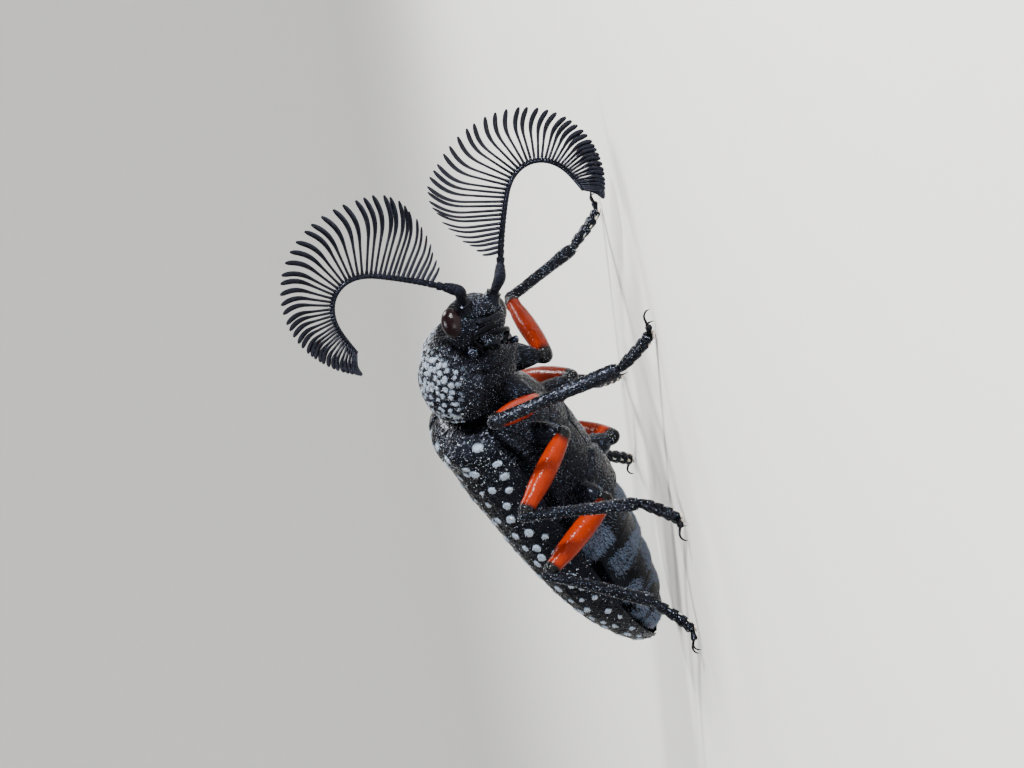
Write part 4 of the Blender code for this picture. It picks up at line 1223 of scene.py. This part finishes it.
def tibia_skin(leg, seed):
    """A bent neck at the knee, then a rod with four low ridges and raised grains, wider at its end."""
    knee, ankle, bend = leg["knee"], leg["ankle"], leg["bend"]
    path = [knee - leg["thigh"] * 0.2 * MM + bend * 0.02 * MM, knee + bend * 0.06 * MM]
    path += [knee * (1 - t) + ankle * t for t in (0.12, 0.4, 0.7, 0.92, 1.0)]
    rings = limb(path, TIBIA_RADII, 0.88, leg["hint"], 110, 48)
    along = np.linspace(0, 1, 110)[:, None]
    ridges = 0.012 * np.cos(4 * turns(48)) * smooth((along - 0.12) / 0.1) * smooth((1 - along) / 0.08)
    return tube_relief(raised(rings, ridges), 4.0, 0.28, 0.11, -0.032, seed)


def tibial_spurs(leg):
    """Two short straight spines at the end of the tibia, one on each side."""
    shin, hint = leg["shin"], leg["hint"]
    spurs = []
    for turn in (0.7, -0.7):
        foot = leg["ankle"] - shin * 0.06 * MM + (hint * turn - leg["flat"] * 0.4) * 0.26 * MM
        path = [foot + shin * a * MM + hint * turn * b * MM for a, b in ((0, 0), (0.22, 0.06), (0.46, 0.03))]
        size = np.linspace(0.055, 0.008, 12)
        spurs.append(carry(smooth_path(path, 12), size, size, leg["flat"], 8))
    return np.array(spurs)


def tarsus_line(leg):
    """The middle line of a foot: from inside the tibia's end down to the floor, then level over it."""
    shin, flat, foot = leg["shin"], leg["flat"], leg["foot"]
    start = leg["ankle"] - shin * 0.1 * MM
    near = leg["ankle"] + shin * (GAP + 0.15) * MM + flat * 0.12 * MM
    t = np.linspace(0, 1, 60)
    low = near + (foot - near) * t[:, None]
    low[:, 2] = foot[2] + (near[2] - foot[2]) * np.maximum(1 - t * 1.3, 0) ** 1.3 + 0.1 * MM
    return np.concatenate([np.linspace(start, near, 6)[:-1], low])


def tarsal_lobes(line, aside):
    """A pair of soft pads under the end of each joint of the foot, spreading as they go."""
    share = np.linspace(0, 1, 14)
    size = tapered(LOBE_RADII, share)
    lobes = []
    for first, end, _ in TARSUS_JOINTS:
        at = np.linspace(first + 0.08, end + 0.05, 14)
        middle = line[(at * (len(line) - 1)).clip(0, len(line) - 1).astype(int)]
        tip = middle - UPWARD * np.minimum(middle[:, 2:3] - 0.06 * MM, 0.2 * MM)
        for turn in (1, -1):
            spread = (aside * turn)[None] * np.linspace(0.06, 0.17, 14)[:, None] * MM
            lobes.append(carry(tip + spread, size * 0.7, size * 1.5, UPWARD, 12))
    return np.array(lobes)


def tarsal_claws(leg, aside):
    """Two hooks that part from the tip of the foot, rise a little and turn down to the floor."""
    flat, foot = leg["flat"], leg["foot"]
    size = tapered(CLAW_RADII, np.linspace(0, 1, 30))
    claws = []
    for turn in (1, -1):
        out = unit(flat + aside * 0.6 * turn)
        root = foot + aside * turn * 0.09 * MM + UPWARD * 0.06 * MM
        hook = [root - flat * 0.2 * MM] + [root + (out * a + UPWARD * b) * MM for a, b in CLAW_LINE]
        claws.append(carry(smooth_path(hook, 30), size, size * 0.8, aside, 12))
    return np.array(claws)


def foot_piece(pair, side, leg):
    """Four heart-shaped joints with pale lobes under them, a slim last joint and two hooked claws."""
    line = tarsus_line(leg)
    aside = np.cross(leg["flat"], UPWARD)
    blocks = joints(line, TARSUS_JOINTS, HEART, UPWARD, 18, 24, 1.2)
    last = joints(line, LAST_JOINT, LAST_SWELL, UPWARD, 18, 20)
    claws, lobes = tarsal_claws(leg, aside), tarsal_lobes(line, aside)
    parts = [tubes(blocks), tubes(last), tubes(claws, 1), tubes(lobes, 2)]
    name = f"tarsus_{pair}_{side}"
    finishes = [FINISHES["leg"], FINISHES["horn"], FINISHES["membrane"]]
    piece(f"{name}_skin", parts, finishes, [name])
    SKINS[name] = blocks


def leg_pieces(number, pair, side):
    """The hip, the femur, the tibia with its spurs, and the foot of one leg."""
    leg = leg_line(pair, side)
    seed = 70 + 10 * number
    hip, femur, tibia = f"coxa_{pair}_{side}", f"femur_{pair}_{side}", f"tibia_{pair}_{side}"
    SKINS[hip] = hip_skin(leg, pair, seed)
    SKINS[femur] = femur_skin(leg, pair, seed + 2)
    SKINS[tibia] = tibia_skin(leg, seed + 4)
    piece(hip, [tubes(SKINS[hip])], [FINISHES["body"]])
    piece(f"{femur}_skin", [tubes(SKINS[femur])], [FINISHES["femur"]], [femur])
    shin = [tubes(SKINS[tibia]), tubes(tibial_spurs(leg))]
    piece(f"{tibia}_skin", shin, [FINISHES["leg"]], [tibia])
    foot_piece(pair, side, leg)


# Hairs


def rooted(rings, count, seed, cover=None):
    """Roots spread over a grid of rings by area: places, normals, the way the rows run, row and column.

    cover is how thickly they stand, from 0 to about 1, as a function of the row's and the column's share.
    """
    rings = np.asarray(rings, float)
    rows, cols = rings.shape[:2]
    draw = np.random.default_rng(seed)
    beside = np.roll(rings, -1, axis=1)
    cross = np.cross(beside[:-1] - rings[:-1], rings[1:] - rings[:-1])
    weight = np.linalg.norm(cross, axis=-1)
    if cover is not None:
        u, v = (np.arange(rows - 1) + 0.5) / (rows - 1), (np.arange(cols) + 0.5) / cols
        weight = weight * cover(*np.meshgrid(u, v, indexing="ij"))
    weight = weight.ravel() / weight.sum()
    cell = draw.choice(weight.size, size=count, p=weight)
    i, j = cell // cols, cell % cols
    a, b = draw.random((2, count, 1))
    k = (j + 1) % cols
    low = rings[i, j] * (1 - b) + rings[i, k] * b
    high = rings[i + 1, j] * (1 - b) + rings[i + 1, k] * b
    place = low * (1 - a) + high * a
    normal = unit(cross[i, j]) * np.sign(holds(rings[None])[0])
    share = np.stack([(i + a[:, 0]) / (rows - 1), (j + b[:, 0]) / cols], -1)
    return place, normal, unit(high - low), share, draw


def pelt(rings, count, seed, kind, cover=None, backward=1.0):
    """Hairs on a grid of rings that lie along its rows, each lifted off the skin by its own amount."""
    count = int(count)
    length, thick, wide, lie, sway = HAIRS[kind]
    root, normal, along, share, draw = rooted(rings, count, seed, cover)
    side = unit(np.cross(normal, along))
    swing = draw.normal(0, sway, (count, 1))
    lean = unit(along * backward + side * swing)
    rise = lie * (0.6 + 0.8 * draw.random((count, 1)))
    reach = length * (0.65 + 0.7 * draw.random((count, 1))) * MM
    tip = root + unit(lean + normal * rise) * reach
    side = unit(np.cross(normal, lean))
    return root - normal * 0.01 * MM, tip, side, thick * MM, wide * MM, share


def coat(groups, name, hair):
    """One piece of many solid hairs, with a small patch of its bake map for each at its root's place."""
    verts, quads, tris, roots, step = [], [], [], [], 0
    tiles = math.ceil(math.sqrt(len(groups)))
    for number, (*shape, share) in enumerate(groups):
        corners, four, three = spikes(*shape)
        verts.append(corners)
        quads.append(four + step)
        tris.append(three + step)
        roots.append((np.array(divmod(number, tiles)) + 0.04 + 0.92 * share) / tiles)
        step += len(corners)
    verts, quads, tris = (np.concatenate(a) for a in (verts, quads, tris))
    patch = np.array([[0, 0], [1, 0], [0.5, 0.3], [0, 0.6], [1, 0.6], [0.5, 0.8], [0.5, 1]]) - 0.5
    spot = (np.concatenate(roots)[:, None] + patch * HAIR_PATCH).reshape(-1, 2)
    part = {"verts": verts, "quads": quads, "tris": tris, "finish": 0}
    part |= {"quad_uv": spot[quads], "tri_uv": spot[tris]}
    piece(name, [part], [FINISHES[hair]], sharp=0, uv_name="OFBake")


def underside(v, start=0.0, soft=0.3):
    """1 on the underside of a ring and 0 above it, by the share of its columns."""
    return smooth((-np.sin(v * FULL) - start) / soft)


def thorax_cover(u, v):
    """Only below the flank, thicker in patches."""
    return underside(v, 0.1, 0.2) * (0.35 + 0.65 * smooth((drift(v * 20, u * 7, 1.1, 81) - 0.05) / 0.4))


def ventrite_cover(number):
    """The cover of a belly plate: broad blotches, bare bands between the plates and at its front edge."""

    def cover(u, v):
        blotch = smooth((drift(v * 13, u * 1.3, 1.0, 90 + number) - 0.08) / 0.2)
        band = smooth((u - 0.78) / 0.12) * (number < len(VENTRITE_ENDS))
        return underside(v, 0.1, 0.2) * (0.04 + blotch) * smooth((u - 0.22) / 0.1) * (1.03 - band)

    return cover


def pronotum_cover(u, v):
    """On the blobs of the net, and a few over all the back and the sides."""
    above = smooth((np.sin(v * FULL) + 0.5) / 0.5)
    return net(u, v) + 0.03 * above * smooth((u - 0.09) / 0.04)


def breastplate_cover(u, v):
    """Thickest below, thin above, and none on the hind bead."""
    return (0.3 + 0.7 * underside(v)) * smooth((u - 0.09) / 0.04)


def elytron_cover(u, v):
    """On the tufts, in specks between them, and in larger specks over the shoulder."""
    arc, behind = v / OUTER_SHARE, u * ELYTRA_LENGTH
    specks = 0.12 * (1 - smooth((cells(arc * 5.2, behind, 0.32, 105) - 0.1) / 0.12))
    shoulder = 0.22 * smooth((3.2 - behind) / 1.6) * (0.25 + 0.75 * smooth((arc - 0.2) / 0.2))
    shoulder = shoulder * (1 - smooth((cells(arc * 5.2, behind, 0.21, 106) - 0.24) / 0.1))
    outer = (v < OUTER_SHARE - 0.008) * (u > 0.01) * (u < 0.985)
    return (tufts(u, v) + specks + shoulder + 0.004) * outer


def face_cover_with_brow_glints(u, v):
    """All over the head, and thickest on the brow, where the extra pale hairs are painted glints."""
    return 0.25 + underside(v, 0, 0.4) * (0.6 + 2.4 * ridge(u - 0.3, 0.14))


def femur_ends(u, v):
    """Only on the black hip and knee of a femur."""
    return smooth((0.29 - u) / 0.04) + smooth((u - 0.83) / 0.04)


def blade_cover(u, v):
    """All over a blade but its root."""
    return u > 0.06


def body_coats(share):
    """The coats of the breast, the belly, the back and the wing cases, with a share of their hairs."""
    # The breast's pale specks are partly its real pubescence and partly painted glints.
    groups = [pelt(SKINS["thorax"], share * 4500, 1, "breast", thorax_cover)]
    coat(groups, "breast_pubescence_and_painted_glints", "pale")
    groups = []
    for number in range(1, len(VENTRITE_ENDS) + 1):
        count, cover = share * (3000 - 300 * number), ventrite_cover(number)
        groups.append(pelt(SKINS[f"ventrite_{number}"], count, 10 + number, "belly", cover))
    coat(groups, "belly_pubescence", "bloom")
    prothorax = SKINS["prothorax"]
    groups = [pelt(SKINS["scutellum"], share * 240, 33, "scutellum")]
    groups += [pelt(prothorax, share * 17000, 31, "pronotum", pronotum_cover, -1.0)]
    coat(groups, "pronotal_scales", "white")
    groups = [pelt(prothorax, share * 2200, 32, "breast", breastplate_cover, -1.0)]
    coat(groups, "breastplate_hairs", "pale")
    for number, side in enumerate(SIDES):
        groups = [pelt(SKINS[f"elytron_{side}"], share * 15000, 41 + number, "elytron", elytron_cover)]
        coat(groups, f"elytron_{side}_tufts", "white")


def head_coat(share):
    """The coat of the head, with the bristles of the palps and the jaws."""
    # The extra pale hairs on the brow are painted glints; the rest are the head's real hairs.
    groups = [pelt(SKINS["head"], share * 1500, 51, "face", face_cover_with_brow_glints)]
    for number, side in enumerate(SIDES):
        for k, joint in enumerate(SKINS[f"palp_{side}"]):
            groups.append(pelt(joint, share * 26, 55 + number * 5 + k, "palp"))
    groups.append(pelt(SKINS["maxillae"], share * 200, 54, "jaw"))
    coat(groups, "head_hairs_and_brow_glints", "pale")


def leg_coats(share):
    """The legs' fine hairs, and the white scales on their black parts."""
    groups = []
    for number, (pair, side) in enumerate(LEGS):
        groups.append(pelt(SKINS[f"femur_{pair}_{side}"], share * 150, 61 + number, "femur"))
        groups.append(pelt(SKINS[f"tibia_{pair}_{side}"], share * 260, 71 + number, "tibia"))
        groups.append(pelt(SKINS[f"coxa_{pair}_{side}"], share * 300, 81 + number, "hip"))
    coat(groups, "leg_hairs", "bloom")
    groups = []
    for number, (pair, side) in enumerate(LEGS):
        femur, tibia = SKINS[f"femur_{pair}_{side}"], SKINS[f"tibia_{pair}_{side}"]
        groups.append(pelt(femur, share * 130, 161 + number, "limb scale", femur_ends))
        groups.append(pelt(tibia, share * 480, 171 + number, "limb scale"))
        for k, joint in enumerate(SKINS[f"tarsus_{pair}_{side}"]):
            groups.append(pelt(joint, share * 70, 191 + number * 4 + k, "foot scale"))
    coat(groups, "leg_scales", "white")


def fan_coats(share):
    """Fine bristles along the blades of each fan."""
    for number, side in enumerate(SIDES):
        groups = [
            pelt(blade, share * 60, 200 + number * 60 + k, "blade", blade_cover)
            for k, blade in enumerate(SKINS[f"fan_{side}"])
        ]
        coat(groups, f"fan_{side}_setae", "grey")


# Stage


def lay_floor(colour):
    """A round board under the beetle, flat and then bending up to a rim."""
    turn = turns(FLOOR_COLS)
    bend = np.linspace(0.1, math.pi / 2, 14)
    out = np.concatenate([[0.02, 0.2, FLOOR_FLAT], FLOOR_FLAT + FLOOR_BEND * np.sin(bend), FLOOR_RIM[:1]])
    high = np.concatenate([[0, 0, 0], FLOOR_BEND - FLOOR_BEND * np.cos(bend), FLOOR_RIM[1:]])
    out, high = out[:, None], high[:, None]
    rings = np.stack([out * np.cos(turn), out * np.sin(turn), high + 0 * turn], -1)
    i, j = np.meshgrid(np.arange(len(out) - 1) * FLOOR_COLS, np.arange(FLOOR_COLS), indexing="ij")
    k = (j + 1) % FLOOR_COLS
    walls = np.stack([i + j, i + FLOOR_COLS + j, i + FLOOR_COLS + k, i + k], -1).reshape(-1, 4)
    data = bpy.data.meshes.new("floor")
    data.from_pydata(rings.reshape(-1, 3).tolist(), [], [*walls.tolist(), list(range(FLOOR_COLS))])
    data.materials.append(matt_board(colour))
    data.shade_smooth()
    floor = bpy.data.objects.new("floor", data)
    bpy.context.scene.collection.objects.link(floor)


def photo_camera():
    """Stands the camera where the photograph was taken from, lying almost on its side.

    Gives the directions to its right, up and back from it.
    """
    along, across = math.cos(CAMERA_AZIMUTH), math.sin(CAMERA_AZIMUTH)
    level = Vector((across, -along, 0))
    flat = math.cos(CAMERA_HEIGHT)
    back = Vector((-along * flat, -across * flat, math.sin(CAMERA_HEIGHT)))
    upright = back.cross(level)
    right = -LEAN_ACROSS * upright - LEAN_ALONG * level
    up = LEAN_ACROSS * level - LEAN_ALONG * upright
    data = bpy.data.cameras.new("camera")
    data.lens = CAMERA_LENS
    data.sensor_width = CAMERA_SENSOR
    data.clip_start = 0.001
    made = bpy.data.objects.new("camera", data)
    turn = Matrix((right, up, back)).transposed().to_4x4()
    made.matrix_world = Matrix.Translation((CAD_LOW + CAD_HIGH) / 2 + back * CAMERA_AWAY) @ turn
    # The shift brings the waist to where the photograph has it.
    near = made.matrix_world.inverted() @ TRUNK.translation
    scale = CAMERA_LENS / CAMERA_SENSOR * PHOTO_WIDE / -near.z
    data.shift_x = (PHOTO_WIDE / 2 + scale * near.x - WAIST_PIXEL[0]) / PHOTO_WIDE
    data.shift_y = (WAIST_PIXEL[1] - PHOTO_HIGH / 2 + scale * near.y) / PHOTO_WIDE
    bpy.context.scene.collection.objects.link(made)
    bpy.context.scene.camera = made
    return right, up, back


def hang_lamp(name, offset, size, watts):
    """One soft round lamp, turned to the beetle from an offset, and never lower than just above the floor."""
    light = bpy.data.lights.new(name, "AREA")
    light.shape = "DISK"
    light.size = size
    light.energy = watts
    lamp = bpy.data.objects.new(name, light)
    aim = (CAD_LOW + CAD_HIGH) / 2
    spot = aim + offset
    spot.z = max(spot.z, LOWEST_LAMP)
    lamp.location = spot
    lamp.rotation_mode = "QUATERNION"
    lamp.rotation_quaternion = (spot - aim).to_track_quat("Z", "Y")
    bpy.context.scene.collection.objects.link(lamp)


# Operators


def swatch(name, use, code):
    """A setting for the colour of something, with its default as an sRGB hex code."""
    return bpy.props.FloatVectorProperty(
        name=name, description=f"Colour of {use}", subtype="COLOR", default=linear(code), min=0, max=1
    )


class BeetleSettings(bpy.types.PropertyGroup):
    """Colours, counts and spacings that the operators read"""

    cuticle: swatch("Cuticle", "the black cuticle", "#030304")
    femur: swatch("Femora", "the red-orange femora", "#741c00")
    eye: swatch("Eyes", "the compound eyes", "#16080c")
    lamella: swatch("Lamellae", "the fans' blades", "#040406")
    hair: swatch("Hairs", "the white scale hairs", "#dce6f4")
    floor: swatch("Floor", "the floor", "#d9d8d4")
    lamellae: bpy.props.IntProperty(
        name="Blades",
        description="Blades on each antenna",
        default=47,
        min=12,
        max=60,
    )
    puncture: bpy.props.FloatProperty(
        name="Punctures",
        description="Spacing of the pits on back and breast",
        default=0.0002,
        min=0.0001,
        max=0.001,
        precision=5,
        subtype="DISTANCE",
        unit="LENGTH",
    )
    hairiness: bpy.props.FloatProperty(
        name="Hairiness",
        description="Share of the hairs that are made",
        default=1.0,
        min=0.05,
        max=1.5,
        subtype="FACTOR",
    )


class BEETLE_OT_finishes(bpy.types.Operator):
    """Makes the materials"""

    bl_idname = "beetle.finishes"
    bl_label = "Materials"

    def execute(self, context):
        make_finishes(context.scene.beetle)
        return {"FINISHED"}


class BEETLE_OT_elytra(bpy.types.Operator):
    """Builds the two elytra and the scutellum"""

    bl_idname = "beetle.elytra"
    bl_label = "Elytra"

    def execute(self, context):
        pit = context.scene.beetle.puncture * 1000
        for side, sign in SIDES.items():
            skin = elytron_skin(sign, pit)
            SKINS[f"elytron_{side}"] = skin
            parts = [tubes(skin, 0, ELYTRA_FELT * tufts(*shares(skin)))]
            piece(f"elytron_{side}_skin", parts, [FINISHES["elytra"]], [f"elytron_{side}"])
        SKINS["scutellum"] = scutellum_skin()
        piece("scutellum_skin", [tubes(SKINS["scutellum"])], [FINISHES["body"]], ["scutellum"])
        return {"FINISHED"}


class BEETLE_OT_breast(bpy.types.Operator):
    """Builds the middle and hind breast, and the five belly plates"""

    bl_idname = "beetle.breast"
    bl_label = "Breast and belly"

    def execute(self, context):
        SKINS["thorax"] = thorax_skin()
        piece("pterothorax_skin", [tubes(SKINS["thorax"])], [FINISHES["body"]], ["pterothorax"])
        for number in range(1, len(VENTRITE_ENDS) + 1):
            name = f"ventrite_{number}"
            SKINS[name] = ventrite_skin(number)
            piece(f"{name}_skin", [tubes(SKINS[name])], [FINISHES["body"]], [name])
        return {"FINISHED"}


class BEETLE_OT_prothorax(bpy.types.Operator):
    """Builds the front body ring"""

    bl_idname = "beetle.prothorax"
    bl_label = "Prothorax"

    def execute(self, context):
        skin = prothorax_skin(context.scene.beetle.puncture * 1000)
        SKINS["prothorax"] = skin
        parts = [tubes(skin, 0, PRONOTUM_FELT * net(*shares(skin)))]
        piece("prothorax_skin", parts, [FINISHES["body"]], ["prothorax"])
        return {"FINISHED"}


class BEETLE_OT_head(bpy.types.Operator):
    """Builds the head, the eyes and the mouthparts"""

    bl_idname = "beetle.head"
    bl_label = "Head"

    def execute(self, context):
        SKINS["head"] = head_skin()
        parts = [tubes(SKINS["head"]), tubes(neck_skin())]
        for name, plate in HEAD_PLATES.items():
            SKINS[name] = head_plate(**plate)
            parts.append(tubes(SKINS[name]))
        for side in SIDES:
            parts += [tubes(socket_skin(side)), hoop(eye_rim(side))]
        piece("head_skin", parts, [FINISHES["head"]], ["head"])
        for side in SIDES:
            lens = on_head(ball(EYE_HALF, 90, 120) + EYE_MIDDLE, side)
            piece(f"eye_{side}_lens", [tubes(lens)], [FINISHES["eye"]], [f"eye_{side}"])
            mouth_pieces(side)
        return {"FINISHED"}


class BEETLE_OT_antennae(bpy.types.Operator):
    """Builds the two feathered antennae"""

    bl_idname = "beetle.antennae"
    bl_label = "Antennae"

    def execute(self, context):
        for side in SIDES:
            antenna_pieces(side, context.scene.beetle.lamellae)
        return {"FINISHED"}


class BEETLE_OT_legs(bpy.types.Operator):
    """Builds the six legs with their feet and claws"""

    bl_idname = "beetle.legs"
    bl_label = "Legs"

    def execute(self, context):
        for number, (pair, side) in enumerate(LEGS):
            leg_pieces(number, pair, side)
        return {"FINISHED"}


class BEETLE_OT_hairs(bpy.types.Operator):
    """Roots the white scale hairs and the fine pubescence on the skins"""

    bl_idname = "beetle.hairs"
    bl_label = "Hairs"

    def execute(self, context):
        share = context.scene.beetle.hairiness
        body_coats(share)
        head_coat(share)
        leg_coats(share)
        fan_coats(share)
        return {"FINISHED"}


class BEETLE_OT_stage(bpy.types.Operator):
    """Lays the pale floor, hangs the soft lights and stands the camera"""

    bl_idname = "beetle.stage"
    bl_label = "Floor, lights and camera"

    def execute(self, context):
        lay_floor(tuple(context.scene.beetle.floor))
        right, up, back = photo_camera()
        world = bpy.data.worlds.new("studio")
        world.use_nodes = True
        context.scene.world = world
        sky = world.node_tree.nodes["Background"].inputs
        sky["Color"].default_value = (*linear("#eef1f6"), 1)
        sky["Strength"].default_value = SKY_STRENGTH
        for name, ((aside, above, behind), size, watts) in LAMPS.items():
            hang_lamp(name, right * aside + up * above + back * behind, size, watts)
        offset, size, watts = TOP_LAMP
        hang_lamp("top", Vector(offset), size, watts)
        return {"FINISHED"}


class BEETLE_PT_panel(bpy.types.Panel):
    """Lists the settings and the pieces in the sidebar"""

    bl_idname = "BEETLE_PT_panel"
    bl_label = "Feather-horned beetle"
    bl_space_type = "VIEW_3D"
    bl_region_type = "UI"
    bl_category = "Beetle"

    def draw(self, context):
        for name in BeetleSettings.__annotations__:
            self.layout.prop(context.scene.beetle, name)
        for operator in OPERATORS:
            self.layout.operator(operator.bl_idname)


OPERATORS = (
    BEETLE_OT_finishes,
    BEETLE_OT_elytra,
    BEETLE_OT_breast,
    BEETLE_OT_prothorax,
    BEETLE_OT_head,
    BEETLE_OT_antennae,
    BEETLE_OT_legs,
    BEETLE_OT_hairs,
    BEETLE_OT_stage,
)
CLASSES = (BeetleSettings, *OPERATORS, BEETLE_PT_panel)


def register():
    """Adds the classes, and the settings to the scene."""
    for made in CLASSES:
        bpy.utils.register_class(made)
    bpy.types.Scene.beetle = bpy.props.PointerProperty(type=BeetleSettings)


def unregister():
    """Takes the settings and the classes away again."""
    del bpy.types.Scene.beetle
    for made in reversed(CLASSES):
        bpy.utils.unregister_class(made)


def main():
    """Registers the add-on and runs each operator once."""
    register()
    for operator in OPERATORS:
        group, name = operator.bl_idname.split(".")
        getattr(getattr(bpy.ops, group), name)()


if __name__ == "__main__":
    main()
